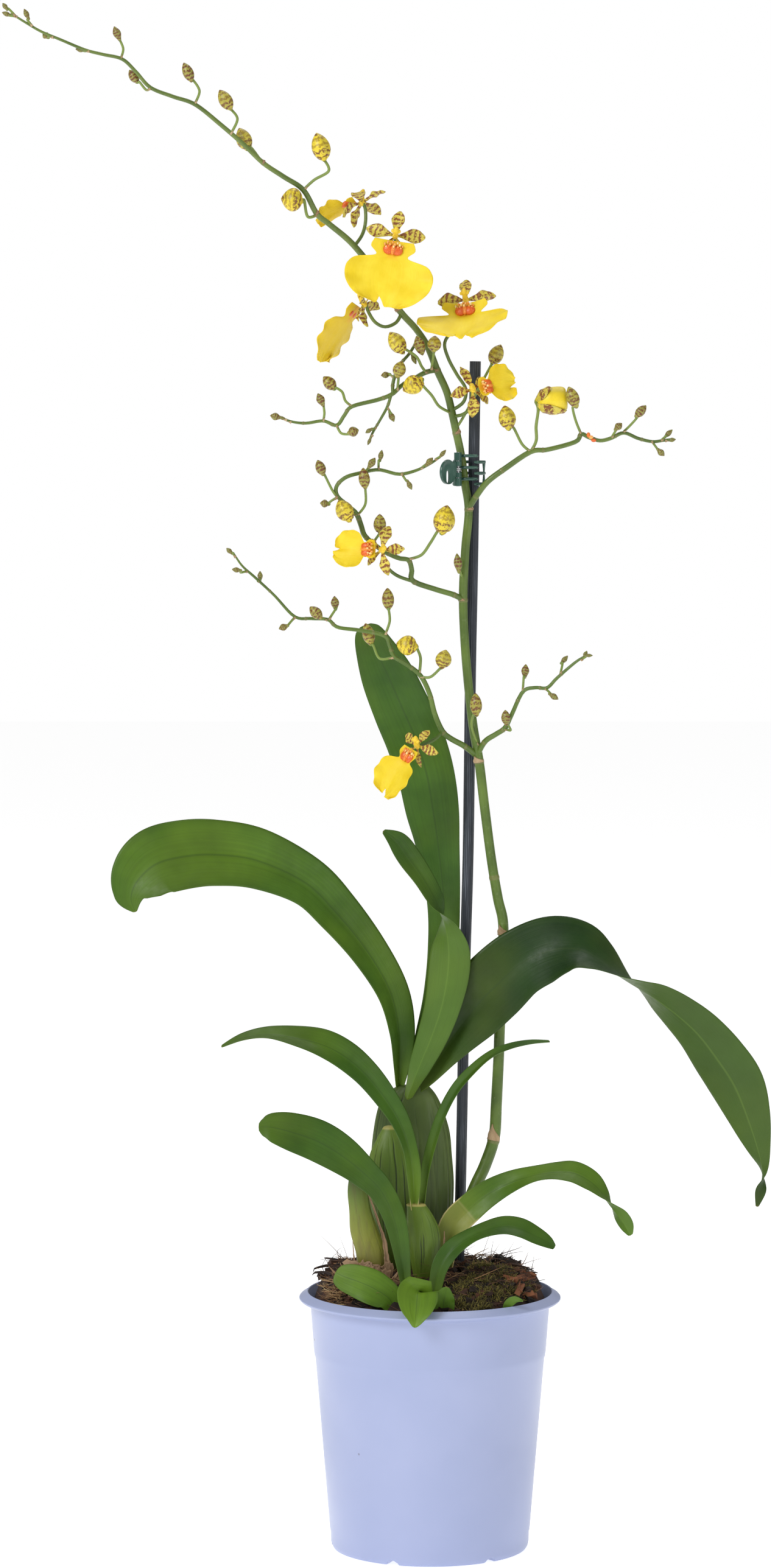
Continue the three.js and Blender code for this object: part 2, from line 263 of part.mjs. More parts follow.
// Blooms: centre, the way it faces, the way its dorsal sepal points, the size of its tepals, then how
// long and how wide its lip has opened, how far the lip's sides curl and its blade bends forward
// (radians), and the stalk from its twig.
const BLOOMS = [
  { centre: [-31, 8, 616.5], facing: [-0.45, 0.5, 0.74], dorsal: [0.82, -0.1, 0.55], size: 1,
    lip: [0.66, 0.42, 0.7, 0.05], carrier: 'flower_stem',
    stalk: [[-34, 1.2, 597], [-31, 4, 601.5], [-29.5, 6, 607], [-29.5, 7.5, 613]] },
  { centre: [-16, -14, 600.5], facing: [0, -1, 0.05], dorsal: [0.16, 0, 1], size: 1,
    lip: [1, 1, 0.3, 0.05], carrier: 'flower_stem',
    stalk: [[-18, 3.5, 574], [-16.5, 0, 579], [-15.5, -6, 592], [-16, -11, 599.5]] },
  { centre: [-30, 2, 570.5], facing: [-0.8, 0.38, 0.46], dorsal: [0.56, 0, 0.83], size: 0.85,
    lip: [1.02, 0.8, 0.2, 0.05], carrier: 'flower_stem',
    stalk: [[-13, 4, 566.5], [-15.5, 2, 562], [-20.5, 2, 560], [-25, 2, 562], [-28, 2, 566.5]] },
  { centre: [16, 1, 572], facing: [-0.2, -0.88, 0.4], dorsal: [-0.02, 0.42, 0.9], size: 1,
    lip: [0.92, 1.05, 0.35, 0.65], carrier: 'flower_stem',
    stalk: [[9.5, 8, 522], [15, 5, 526], [16, 5, 532], [12, 5, 538.5], [8, 3, 546], [6.5, 2, 553],
      [11, 2, 560], [15, 2.5, 569]] },
  { centre: [19, -5, 531.5], facing: [0.45, -0.8, 0.3], dorsal: [-0.9, -0.35, -0.15], size: 0.9,
    lip: [0.62, 0.5, 0.9, 0.1], carrier: 'flower_stem',
    stalk: [[10.8, 8, 519.5], [15, 3, 520.5], [18.5, 0, 524], [18.5, -3, 529.5]] },
  { centre: [-22, -17.6, 459.5], facing: [-0.35, -0.9, 0.2], dorsal: [0.95, -0.3, 0.05], size: 0.85,
    lip: [0.66, 0.48, 0.9, 0.1], carrier: 'spray_mid_left',
    stalk: [[-8.5, -4.2, 445], [-15, -8, 447.5], [-19.5, -12, 451.5], [-21.5, -15.5, 457.5]] },
  { centre: [-6, -11, 370.5], facing: [-0.5, -0.82, 0.28], dorsal: [0.42, -0.1, 0.9], size: 0.75,
    lip: [0.84, 0.5, 0.7, 0.1], carrier: 'spray_low_left',
    stalk: [[5.5, -2, 376.5], [2, -5, 373], [-3.5, -8.5, 370.5]] },
];

// ---- shaping tools ----

const AWAY = new THREE.Vector3(0, 1, 0);
const radians = THREE.MathUtils.degToRad;
const vector = (numbers) => new THREE.Vector3(numbers[0], numbers[1], numbers[2]);

// A solid from points and triangles, turned right way out.
function solid(points, triangles) {
  let volume = 0;
  for (const [a, b, c] of triangles) volume += points[a].dot(points[b].clone().cross(points[c]));
  const faces = volume > 0 ? triangles : triangles.map(([a, b, c]) => [a, c, b]);
  const vertProperties = new Float32Array(points.flatMap((p) => [p.x, p.y, p.z]));
  const triVerts = new Uint32Array(faces.flat());
  return new wasm.Manifold(new wasm.Mesh({ numProp: 3, vertProperties, triVerts }));
}

// A solid from a three.js geometry, whose doubled vertices are merged first.
function fromGeometry(geometry) {
  const bare = geometry.clone();
  bare.deleteAttribute('normal');
  bare.deleteAttribute('uv');
  const merged = mergeVertices(bare, 1e-4);
  const { position } = merged.attributes;
  const points = Array.from({ length: position.count }, (_, i) => (
    new THREE.Vector3().fromBufferAttribute(position, i)));
  const triangles = [];
  for (let i = 0; i < merged.index.count; i += 3) {
    const corner = [0, 1, 2].map((k) => merged.index.getX(i + k));
    if (new Set(corner).size === 3) triangles.push(corner);
  }
  return solid(points, triangles);
}

const join = (solids) => solids.slice(1).reduce((whole, piece) => whole.add(piece), solids[0]);

// The largest body, without the scraps that a cut can leave.
function mainBody(whole) {
  return whole.decompose().reduce((best, body) => (body.volume() > best.volume() ? body : best));
}

// Catmull-Rom through rows of numbers, s from 0 to 1 with the rows evenly spaced in s.
function spline(rows, s) {
  const last = rows.length - 1;
  const i = Math.min(Math.floor(s * last), last - 1);
  const f = s * last - i;
  const row = (k) => rows[Math.max(0, Math.min(last, k))];
  return rows[i].map((b, c) => {
    const [a, d, e] = [row(i - 1)[c], row(i + 1)[c], row(i + 2)[c]];
    return b + 0.5 * f * (d - a + f * (2 * a - 5 * b + 4 * d - e + f * (3 * (b - d) + e - a)));
  });
}

function tangentAt(rows, s) {
  const step = 0.2 / (rows.length - 1);
  const ahead = vector(spline(rows, Math.min(1, s + step)));
  return ahead.sub(vector(spline(rows, Math.max(0, s - step)))).normalize();
}

// A body skinned over closed rings of equal count, its two ends flat.
function skin(rings) {
  const sides = rings[0].length;
  const triangles = [];
  for (let i = 0; i + 1 < rings.length; i++) {
    for (let j = 0; j < sides; j++) {
      const [a, b] = [i * sides + j, i * sides + ((j + 1) % sides)];
      triangles.push([a, b, b + sides], [a, b + sides, a + sides]);
    }
  }
  const end = (rings.length - 1) * sides;
  for (let j = 1; j + 1 < sides; j++) triangles.push([0, j + 1, j], [end, end + j, end + j + 1]);
  return solid(rings.flat(), triangles);
}

// A round stalk along rows of [x, y, z, radius], its section carried forward without twisting.
function stalk(rows, sides, steps = rows.length - 1, grow = 0) {
  let side = new THREE.Vector3(0.3, 1, 0.2);
  const rings = Array.from({ length: steps + 1 }, (_, i) => {
    const s = i / steps;
    const [x, y, z, radius] = spline(rows, s);
    const tangent = tangentAt(rows, s);
    side = side.clone().addScaledVector(tangent, -side.dot(tangent)).normalize();
    const other = tangent.clone().cross(side);
    return Array.from({ length: sides }, (_, j) => {
      const angle = (2 * Math.PI * j) / sides;
      return new THREE.Vector3(x, y, z)
        .addScaledVector(side, (radius + grow) * Math.cos(angle))
        .addScaledVector(other, (radius + grow) * Math.sin(angle));
    });
  });
  return skin(rings);
}

// A thin blade over a surface(s, v), s from 0 to 1 and v from -1 to 1: the same grid of triangles a
// half thickness to each side of it, joined round the edge.
function blade(surface, along, across, thickness) {
  const points = [];
  const width = across + 1;
  const count = (along + 1) * width;
  const at = (s, v) => surface(THREE.MathUtils.clamp(s, 0, 1), THREE.MathUtils.clamp(v, -1, 1));
  for (const half of [0.5, -0.5]) {
    for (let i = 0; i <= along; i++) {
      for (let j = 0; j <= across; j++) {
        const [s, v] = [i / along, (2 * j) / across - 1];
        const lengthwise = at(s + 0.01, v).sub(at(s - 0.01, v));
        const normal = lengthwise.cross(at(s, v + 0.05).sub(at(s, v - 0.05))).normalize();
        points.push(at(s, v).addScaledVector(normal, half * thickness));
      }
    }
  }
  const triangles = [];
  for (let i = 0; i < along; i++) {
    for (let j = 0; j < across; j++) {
      const a = i * width + j;
      const [b, c, d] = [a + 1, a + width + 1, a + width];
      triangles.push([a, b, c], [a, c, d]);
      triangles.push([count + a, count + c, count + b], [count + a, count + d, count + c]);
    }
  }
  const edge = [];
  for (let j = 0; j < across; j++) edge.push(j);
  for (let i = 0; i < along; i++) edge.push(i * width + across);
  for (let j = across; j > 0; j--) edge.push(along * width + j);
  for (let i = along; i > 0; i--) edge.push(i * width);
  edge.forEach((a, k) => {
    const b = edge[(k + 1) % edge.length];
    triangles.push([b, a, count + a], [b, count + a, count + b]);
  });
  return solid(points, triangles);
}

// A leaf: a line through its rows, with the two halves of the blade folded up from the midrib.
function leafSurface({ rows, fold }, grow = 0) {
  return (s, v) => {
    const [x, y, z, halfWidth, roll] = spline(rows, s);
    const tangent = tangentAt(rows, s);
    const level = tangent.clone().cross(AWAY).normalize();
    const front = tangent.clone().cross(level);
    const turn = radians(roll);
    const side = level.multiplyScalar(Math.cos(turn)).addScaledVector(front, Math.sin(turn));
    const face = tangent.clone().cross(side);
    const closing = Math.max(0, 1 - s / LEAF.closingShare) ** 2;
    const angle = radians(fold[1] + (fold[0] - fold[1]) * closing);
    const reach = halfWidth + grow;
    return new THREE.Vector3(x, y, z)
      .addScaledVector(side, reach * v * Math.cos(angle))
      .addScaledVector(face, reach * Math.sin(angle) * (Math.sqrt(v * v + 0.04) - 0.2));
  };
}

const leaf = (plan, grow = 0) =>
  blade(leafSurface(plan, grow), plan.cuts[0], plan.cuts[1], LEAF.thickness + 2 * grow);

// A pseudobulb: ribbed ovals stacked along its rows.
function bulb({ ribs, sides, rows }, grow = 0) {
  const steps = rows.length - 1;
  return skin(Array.from({ length: steps + 1 }, (_, i) => {
    const [x, y, z, halfWidth, halfDepth] = spline(rows, i / steps);
    const height = i === steps ? z + grow : z;
    return Array.from({ length: sides }, (_, j) => {
      const angle = (2 * Math.PI * j) / sides;
      const rib = 1 + 0.045 * Math.cos(ribs * angle);
      return new THREE.Vector3(
        x + (halfWidth * rib + grow) * Math.cos(angle),
        y + (halfDepth * rib + grow) * Math.sin(angle),
        height);
    });
  }));
}

// The fine stalk of a bloom, from just inside it down to its twig.
function pedicel({ centre, facing, stalk: path }) {
  const inside = vector(centre).addScaledVector(vector(facing).normalize(), -1).toArray();
  const points = [inside, ...path.toReversed()];
  const [thin, thick] = BLOOM.pedicelRadii;
  return stalk(points.map((p, i) => [...p, THREE.MathUtils.lerp(thin, thick, i / (points.length - 1))]), 3);
}

// A bud on its stalk, in one skin: an ovoid fattest below its middle, then the stalk down to its twig.
function stalkedBud([tip, base, radius, points]) {
  const along = (share) => vector(tip).lerp(vector(base), share).toArray();
  const ovoid = radius > 2
    ? [[0, 0.12], [0.22, 0.68], [0.58, 1], [0.92, 0.5]]
    : [[0, 0.15], [0.4, 1], [0.88, 0.6]];
  const rows = ovoid.map(([share, width]) => [...along(share), radius * width]);
  const sides = [1.35, 3.5].reduce((count, limit) => count + (radius > limit), 3);
  return stalk([...rows, ...points.map((point) => [...point, BUD_STALK_RADIUS])], sides);
}

// ---- pieces ----

function pot() {
  const { wall, floor, height } = POT;
  const outside = [
    [0, 0], [POT.footRadius, 0], [POT.footRadius + 1.4, 0.8], [POT.cornerRadius, 2.6],
    [POT.cornerRadius + 0.4, 8],
    [POT.stepRadius, POT.stepHeight], [POT.stepRadius + POT.stepOut, POT.stepHeight + 0.6],
    [POT.neckRadius, POT.neckHeight], [POT.rimRadius - 0.3, POT.rimHeight - 0.5],
    [POT.rimRadius, POT.rimHeight],
    [POT.mouthRadius + 0.8, height],
  ];
  const inside = [
    [POT.mouthRadius, height], [POT.neckRadius - wall, POT.neckHeight],
    [POT.stepRadius - wall, POT.stepHeight],
    [POT.cornerRadius - wall, floor + 1], [POT.cornerRadius - wall - 2, floor], [0, floor],
  ];
  const profile = [...outside, ...inside].map(([r, z]) => new THREE.Vector2(r, z));
  const shell = fromGeometry(new THREE.LatheGeometry(profile, POT.sides).rotateX(Math.PI / 2));
  const notches = Array.from({ length: POT.notches }, (_, i) => {
    const angle = radians(POT.notchAngle) + (2 * Math.PI * i) / POT.notches;
    const cutter = new THREE.CylinderGeometry(POT.notchRadius, POT.notchRadius, 9, 8).rotateZ(Math.PI / 2);
    cutter.translate(POT.footRadius + 2, 0, -0.5).rotateZ(angle);
    return fromGeometry(cutter);
  });
  return notches.reduce((whole, cutter) => whole.subtract(cutter), shell);
}

// Bark, roots and moss: the inside of the pot, heaped above its rim, lower towards the front.
function mediumHeight(radius, angle) {
  const front = Math.max(0, -Math.sin(angle)) ** 2;
  const steepness = THREE.MathUtils.lerp(8, 2.6, front);
  const left = Math.max(0, -Math.cos(angle)) ** 6;
  const lumps = 0.9 * Math.sin(5 * angle + radius / 7) + 0.7 * Math.cos(3 * angle - radius / 5);
  const reach = POT.neckRadius - MEDIUM.gap;
  const slope = 1 - (radius / reach) ** steepness;
  const shoulder = 7 * left * (radius / reach) ** 4;
  return MEDIUM.edgeHeight + (MEDIUM.moundHeight + lumps + shoulder) * slope;
}

// A plain hole for a pseudobulb: an oval sleeve round its lowest rows.
function bulbHole({ rows }) {
  const sides = 8;
  const [foot, neck] = [rows[0], rows[2]];
  const widest = [3, 4].map((k) => Math.max(foot[k], rows[1][k]) * 1.05);
  const ring = (x, y, z, halves) => Array.from({ length: sides }, (_, j) => {
    const angle = (Math.PI * (2 * j + 1)) / sides;
    const [reach, depth] = halves.map((half) => (half + 2 * CLEARANCE) / Math.cos(Math.PI / sides));
    return new THREE.Vector3(x + reach * Math.cos(angle), y + depth * Math.sin(angle), z);
  });
  return skin([
    ring(foot[0], foot[1], foot[2] - CLEARANCE, widest),
    ring(rows[1][0], rows[1][1], rows[1][2], widest),
    ring(neck[0], neck[1], neck[2], [neck[3] * 1.05, neck[4] * 1.05]),
  ]);
}

// A plain slot for the foot of a leaf.
function leafSlot(plan) {
  const surface = leafSurface(plan, LEAF.slotPlay);
  const share = LEAF.slotRows / (plan.rows.length - 1);
  return blade((s, v) => surface(s * share, v), 3, 2, LEAF.thickness + 2 * LEAF.slotPlay + 0.2)
    .translate([0, 0, -1.5 * CLEARANCE]);
}

function growingMedium(holes) {
  const inner = (r) => r - POT.wall - MEDIUM.gap;
  const wall = [
    [inner(POT.cornerRadius) - 2.2, POT.floor + CLEARANCE], [inner(POT.cornerRadius), POT.floor + 1.6],
    [inner(POT.stepRadius), POT.stepHeight], [inner(POT.neckRadius), POT.neckHeight - 1],
  ];
  const around = (radius, height) => Array.from({ length: MEDIUM.sides }, (_, j) => {
    const angle = (2 * Math.PI * j) / MEDIUM.sides;
    return new THREE.Vector3(radius * Math.cos(angle), radius * Math.sin(angle), height(angle));
  });
  const rings = wall.map(([radius, z]) => around(radius, () => z));
  for (const radius of [52.6, 49, 42, 30, 12]) {
    rings.push(around(radius, (angle) => mediumHeight(radius, angle)));
  }
  return mainBody(holes.reduce((whole, hole) => whole.subtract(hole), skin(rings)));
}

// A papery bract wraps one side of the stem above a joint: a short open cone, fused to the stem.
function bract([x, y, z, radius, height], grow = 0) {
  const cone = new THREE.CylinderGeometry(radius * 0.95 + grow, radius * 1.25 + grow, height + 2 * grow, 6);
  return fromGeometry(cone.rotateX(Math.PI / 2).translate(x, y, z + height * 0.3));
}

// The twigs and stalked buds of a spray, still to be joined.
const sprayParts = ({ twigs, buds }) => [...twigs.map((rows) => stalk(rows, 4)), ...buds.map(stalkedBud)];

// Tepals: [angle from the dorsal sepal, length, half width, how far the tip bends back].
const TEPALS = [
  [0, 11.5, 3, 2.5], [80, 13.5, 3.3, 2.5], [-80, 13.5, 3.3, 2.5], [147, 12, 2.4, 4], [-147, 12, 2.4, 4],
];

function tepal([angle, length, halfWidth, bend], size) {
  const direction = new THREE.Vector3(Math.sin(radians(angle)), Math.cos(radians(angle)), 0);
  const side = new THREE.Vector3(direction.y, -direction.x, 0);
  const widths = [[0.18], [0.68], [1.1], [0.9], [0.3]];
  return blade((s, v) => {
    const reach = BLOOM.columnFoot + (length * size - BLOOM.columnFoot) * s ** 0.8;
    const half = halfWidth * size * spline(widths, s)[0];
    return direction.clone().multiplyScalar(reach).addScaledVector(side, half * v)
      .setZ(-bend * s * s + 0.2 * half * v * v - 0.4);
  }, size < 1 ? 2 : 3, 2, BLOOM.thickness);
}

function column() {
  const rows = [[0, -1.8], [1.3, -1.2], [1.6, 1.2], [1.2, 4], [0, 4.8]];
  const profile = rows.map(([radius, height]) => new THREE.Vector2(radius, height));
  return fromGeometry(new THREE.LatheGeometry(profile, 4).rotateX(Math.PI / 2));
}

// Lip: a claw with two side lobes, then a wide blade notched at its end, crested near the column.
// Rows of [distance below the centre, half width]; the sides curl forward.
const LIP = [[2.4, 4.5], [6, 9.2], [9.6, 7.4], [12, 16.5], [18, 20.3], [25.8, 16.4], [32.6, 5]];

function lip([lengthScale, widthScale, curl, bend]) {
  const [start, waist] = [LIP[0][0], LIP[2][0]];
  const rise = 1.8;
  const shape = blade((s, v) => {
    const [below, half] = spline(LIP, s);
    const width = half * widthScale / curl;
    const notch = 5 * s ** 6 * Math.exp(-((2.6 * v) ** 2));
    const claw = Math.min(below, waist);
    const open = (below - claw - notch) * lengthScale;
    const forward = width * (1 - Math.cos(curl * v)) + 0.7 * Math.sin(5 * v) * s * s;
    return new THREE.Vector3(
      width * Math.sin(curl * v),
      -start - (claw - start) * lengthScale - open * Math.cos(bend) + forward * Math.sin(bend),
      rise + Math.sin(Math.PI * s) + open * Math.sin(bend) + forward * Math.cos(bend));
  }, 6, 4, BLOOM.thickness);
  const crest = new THREE.SphereGeometry(2.3, 5, 3).scale(1.25, 1, 0.8).translate(0, -5.6, 3.8);
  return shape.add(fromGeometry(crest));
}

function bloomFrame({ centre, facing, dorsal }) {
  const front = vector(facing).normalize();
  const right = vector(dorsal).cross(front).normalize();
  const top = front.clone().cross(right);
  return new THREE.Matrix4().makeBasis(right, top, front).setPosition(...centre);
}

const placed = (body, matrix) => body.transform(matrix.toArray());

// ---- the clip: two jaws on a vertical pin, round the stem and the rod ----

function plate(outline, bottom, top) {
  const shape = new THREE.Shape(outline.map(([x, y]) => new THREE.Vector2(x, y)));
  const geometry = new THREE.ExtrudeGeometry(shape, { depth: top - bottom, bevelEnabled: false, steps: 1 });
  return fromGeometry(geometry.translate(0, 0, bottom));
}

// A curved finger round the loop, between two angles in degrees.
function finger(from, to, bottom, top, steps) {
  const [cx, cy] = CLIP.loopCentre;
  const [a, b] = CLIP.loopInner;
  const arc = (extra) => Array.from({ length: steps + 1 }, (_, i) => {
    const angle = radians(from + ((to - from) * i) / steps);
    return [cx + (a + extra) * Math.cos(angle), cy + (b + extra) * Math.sin(angle)];
  });
  return plate([...arc(0), ...arc(CLIP.fingerWidth).reverse()], bottom, top);
}

function knuckle(bottom, top) {
  const tube = new THREE.CylinderGeometry(CLIP.knuckleRadius, CLIP.knuckleRadius, top - bottom, 8);
  return fromGeometry(tube.rotateX(Math.PI / 2).translate(...CLIP.hinge, (bottom + top) / 2));
}

// A bar on edge running out from the hinge at an angle, between two distances from it.
function bar(angle, from, to, bottom, top) {
  const half = CLIP.padThickness / 2;
  const flat = plate([[from, -half], [to, -half], [to, half], [from, half]], bottom, top);
  return flat.rotate([0, 0, angle]).translate([...CLIP.hinge, 0]);
}

// A thumb pad: a round disc standing on edge with a slot in it, out from the hinge at an angle.
function thumbPad(angle) {
  const { padRadius, padThickness, padReach, padHeight, hinge } = CLIP;
  const disc = new THREE.CylinderGeometry(padRadius, padRadius, padThickness, 12).translate(padReach, 0, 0);
  const [slotWidth, slotHeight] = CLIP.slot;
  const slot = new THREE.BoxGeometry(slotWidth, 3 * padThickness, slotHeight);
  slot.translate(padReach - 0.4, 0, 0.5 - slotHeight / 2);
  const body = fromGeometry(disc).subtract(fromGeometry(slot));
  return body.rotate([0, 0, angle]).translate([...hinge, padHeight]);
}

// A jaw: three fingers joined by upright palms, webs and knuckles to the hinge, and a thumb pad.
function clipJaw({ levels, sweep, palms, padAngle, knuckles, web, steps }) {
  const crown = levels[0] + CLIP.fingerHeight;
  const pieces = [
    ...levels.map((z) => finger(sweep[0], sweep[1], z, z + CLIP.fingerHeight, steps)),
    ...palms.map(([from, to]) => finger(from, to, levels.at(-1), crown, 2)),
    ...knuckles.map(([bottom, top]) => plate(web, bottom, top)),
    ...knuckles.map(([bottom, top]) => knuckle(bottom, top)),
    ...knuckles.map(([bottom, top]) => bar(padAngle, 1.3, 3, bottom, top)),
    bar(padAngle, 2.1, 4.4, knuckles[0][0], knuckles.at(-1)[1]),
    thumbPad(padAngle),
  ];
  const depth = 3 * (CLIP.top - CLIP.bottom);
  const bore = new THREE.CylinderGeometry(CLIP.boreRadius, CLIP.boreRadius, depth, 8).rotateX(Math.PI / 2);
  return join(pieces).subtract(fromGeometry(bore.translate(...CLIP.hinge, CLIP.bottom)));
}

function clipPin() {
  const length = CLIP.top - CLIP.bottom;
  const pin = new THREE.CylinderGeometry(CLIP.pinRadius, CLIP.pinRadius, length, 8).rotateX(Math.PI / 2);
  return fromGeometry(pin.translate(...CLIP.hinge, (CLIP.bottom + CLIP.top) / 2));
}

// The spring: turns of wire round the pin, between the front jaw's two knuckles.
function clipSpring() {
  const [bottom, top] = [FRONT_JAW.knuckles[0][1] + 0.65, FRONT_JAW.knuckles[1][0] - 0.65];
  const turns = 2.5;
  const perTurn = 8;
  const rows = Array.from({ length: turns * perTurn + 1 }, (_, i) => {
    const angle = (2 * Math.PI * i) / perTurn;
    return [
      CLIP.hinge[0] + CLIP.coilRadius * Math.cos(angle), CLIP.hinge[1] + CLIP.coilRadius * Math.sin(angle),
      THREE.MathUtils.lerp(bottom, top, i / (turns * perTurn)), CLIP.wireRadius];
  });
  return stalk(rows, 3);
}

// ---- assembly ----

const COLOURS = {
  pot: 0xb8c2e4, medium: 0x5c4432, rod: 0x2b3240, clip: 0x2c5b45, steel: 0xb9bcbf, bulb: 0x93a452,
  sheath: 0xc2a672, leaf: 0x55812b, stem: 0x6f9442, petal: 0xd9b21f, lip: 0xf2cf1d,
};
const part = new THREE.Group();
part.name = 'oncidium_orchid';

// A named mesh from a solid, in whole-facet shading.
function addNode(name, body, colour, roughness) {
  const mesh = body.getMesh();
  const geometry = new THREE.BufferGeometry();
  geometry.setAttribute('position', new THREE.BufferAttribute(mesh.vertProperties, 3));
  geometry.setIndex(new THREE.BufferAttribute(mesh.triVerts, 1));
  geometry.computeVertexNormals();
  const node = new THREE.Mesh(geometry, new THREE.MeshStandardMaterial({ color: colour, roughness }));
  node.name = name;
  part.add(node);
}

const grownBulbs = Object.values(BULBS).map((plan) => bulb(plan, CLEARANCE));
const leafBodies = Object.entries(LEAVES).map(([name, plan]) => {
  const trimmed = grownBulbs.reduce((whole, cutter) => whole.subtract(cutter), leaf(plan));
  return [name, mainBody(trimmed)];
});
const mainStem = stalk(STEM, 5);
const grownStem = join([
  stalk(STEM, 5, STEM.length - 1, CLEARANCE), ...BRACTS.map((plan) => bract(plan, CLEARANCE)),
]);

const holes = [
  ...Object.values(BULBS).map(bulbHole),
  ...Object.values(LEAVES).map(leafSlot),
  stalk([STEM[0], STEM[1]], 5, 1, 2 * CLEARANCE).translate([0, 0, -CLEARANCE]),
  stalk([STAKE[0], STAKE[1]], 10, 1, CLEARANCE).translate([0, 0, -CLEARANCE]),
];

addNode('pot', pot(), COLOURS.pot, 0.45);
addNode('growing_medium', growingMedium(holes), COLOURS.medium, 0.95);
addNode('stake', stalk(STAKE, 10, 6), COLOURS.rod, 0.5);
addNode('clip_back_jaw', clipJaw(BACK_JAW), COLOURS.clip, 0.35);
addNode('clip_front_jaw', clipJaw(FRONT_JAW), COLOURS.clip, 0.35);
addNode('clip_pin', clipPin(), COLOURS.steel, 0.3);
addNode('clip_spring', clipSpring(), COLOURS.steel, 0.3);
for (const [name, plan] of Object.entries(BULBS)) {
  addNode(name, bulb(plan), name.startsWith('sheath') ? COLOURS.sheath : COLOURS.bulb, 0.55);
}
for (const [name, body] of leafBodies) addNode(name, body, COLOURS.leaf, 0.5);

const carriers = { flower_stem: grownStem };
for (const [name, plan] of Object.entries(SPRAYS)) {
  if (name === 'flower_stem') {
    const bracts = BRACTS.map((row) => bract(row));
    addNode(name, join([mainStem, ...sprayParts(plan), ...bracts]), COLOURS.stem, 0.55);
    continue;
  }
  const [twig] = plan.twigs;
  carriers[name] = stalk(twig, 4, twig.length - 1, CLEARANCE);
  addNode(name, mainBody(join(sprayParts(plan)).subtract(grownStem)), COLOURS.stem, 0.55);
}
BLOOMS.forEach((plan, i) => {
  const matrix = bloomFrame(plan);
  const star = placed(join([...TEPALS.map((row) => tepal(row, plan.size)), column()]), matrix);
  const flower = star.add(pedicel(plan)).subtract(carriers[plan.carrier]);
  addNode(`bloom_${i + 1}_petals`, mainBody(flower), COLOURS.petal, 0.6);
  addNode(`bloom_${i + 1}_lip`, placed(lip(plan.lip), matrix), COLOURS.lip, 0.6);
});

export default part;
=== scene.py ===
"""An oncidium orchid in its grow pot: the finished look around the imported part, piece by piece.

Control points are in millimetres from the pot's axis at the surface it stands on, as in the part's own
source, and every mesh is made in metres."""

import math

import bpy
import numpy as np
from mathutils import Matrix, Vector


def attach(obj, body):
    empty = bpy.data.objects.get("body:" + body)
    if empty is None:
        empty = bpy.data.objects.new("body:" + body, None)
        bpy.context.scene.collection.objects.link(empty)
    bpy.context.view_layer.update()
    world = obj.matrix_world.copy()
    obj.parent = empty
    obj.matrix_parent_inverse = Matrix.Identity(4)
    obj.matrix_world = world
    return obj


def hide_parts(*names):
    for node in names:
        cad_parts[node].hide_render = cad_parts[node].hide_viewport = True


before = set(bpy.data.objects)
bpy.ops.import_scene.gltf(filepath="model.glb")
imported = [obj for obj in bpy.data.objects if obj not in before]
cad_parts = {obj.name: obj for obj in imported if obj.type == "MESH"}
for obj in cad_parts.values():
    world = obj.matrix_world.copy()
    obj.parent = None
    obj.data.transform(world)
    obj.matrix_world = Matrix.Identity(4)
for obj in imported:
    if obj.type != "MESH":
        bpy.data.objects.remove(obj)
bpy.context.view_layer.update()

# ---- The studio ----
# A plain pale sweep under the pot, an even white surround, one broad soft light high on the left, weaker
# ones on the right and overhead, and a long lens a little above the middle of the plant.

PLANT_MIDDLE = Vector((-0.02, 0, 0.3))
CAMERA_PLACE, CAMERA_TILT, LENS, SENSOR = (-0.0204, -2.350, 0.530), 85.675, 118.64, 36
SOFT_LIGHTS = {  # each one's side in metres, its place, and its power in watts
    "key light": (1.1, (-1.5, -1.7, 1.7), 40),
    "fill light": (1.1, (1.6, -1.5, 1.0), 9),
    "top light": (1.2, (0.1, 0.7, 2.0), 10),
}
SWEEP = [(-5, -3, 0), (5, -3, 0), (5, 6, 0), (-5, 6, 0)]
WHITE = (1, 1, 1, 1)


def wire(tree, kind, inputs=None, **settings):
    """One shader node: its settings, then each input as a constant or as a link from a socket."""
    made = tree.nodes.new(kind)
    for key, value in settings.items():
        setattr(made, key, value)
    for key, value in (inputs or {}).items():
        if isinstance(value, bpy.types.NodeSocket):
            tree.links.new(value, made.inputs[key])
        else:
            made.inputs[key].default_value = value
    return made


def new_material(name):
    """An empty material and its node tree."""
    made = bpy.data.materials.new(name)
    made.use_nodes = True
    made.node_tree.nodes.clear()
    return made, made.node_tree


def finish_material(tree, **sockets):
    """The material's own Principled shader, with each named socket set or linked."""
    inputs = {key.replace("_", " "): value for key, value in sockets.items()}
    shader = wire(tree, "ShaderNodeBsdfPrincipled", inputs)
    wire(tree, "ShaderNodeOutputMaterial", {"Surface": shader.outputs[0]})


scene = bpy.context.scene
scene.view_settings.view_transform = "Standard"

camera_data = bpy.data.cameras.new("camera")
camera_data.lens = LENS
camera_data.sensor_width = SENSOR
camera = bpy.data.objects.new("camera", camera_data)
scene.collection.objects.link(camera)
camera.location = CAMERA_PLACE
camera.rotation_euler = (math.radians(CAMERA_TILT), 0, 0)
scene.camera = camera

for name, (size, position, power) in SOFT_LIGHTS.items():
    light = bpy.data.lights.new(name, "AREA")
    light.size = size
    light.energy = power
    lamp = bpy.data.objects.new(name, light)
    scene.collection.objects.link(lamp)
    lamp.location = position
    lamp.rotation_euler = (PLANT_MIDDLE - Vector(position)).to_track_quat("-Z", "Y").to_euler()

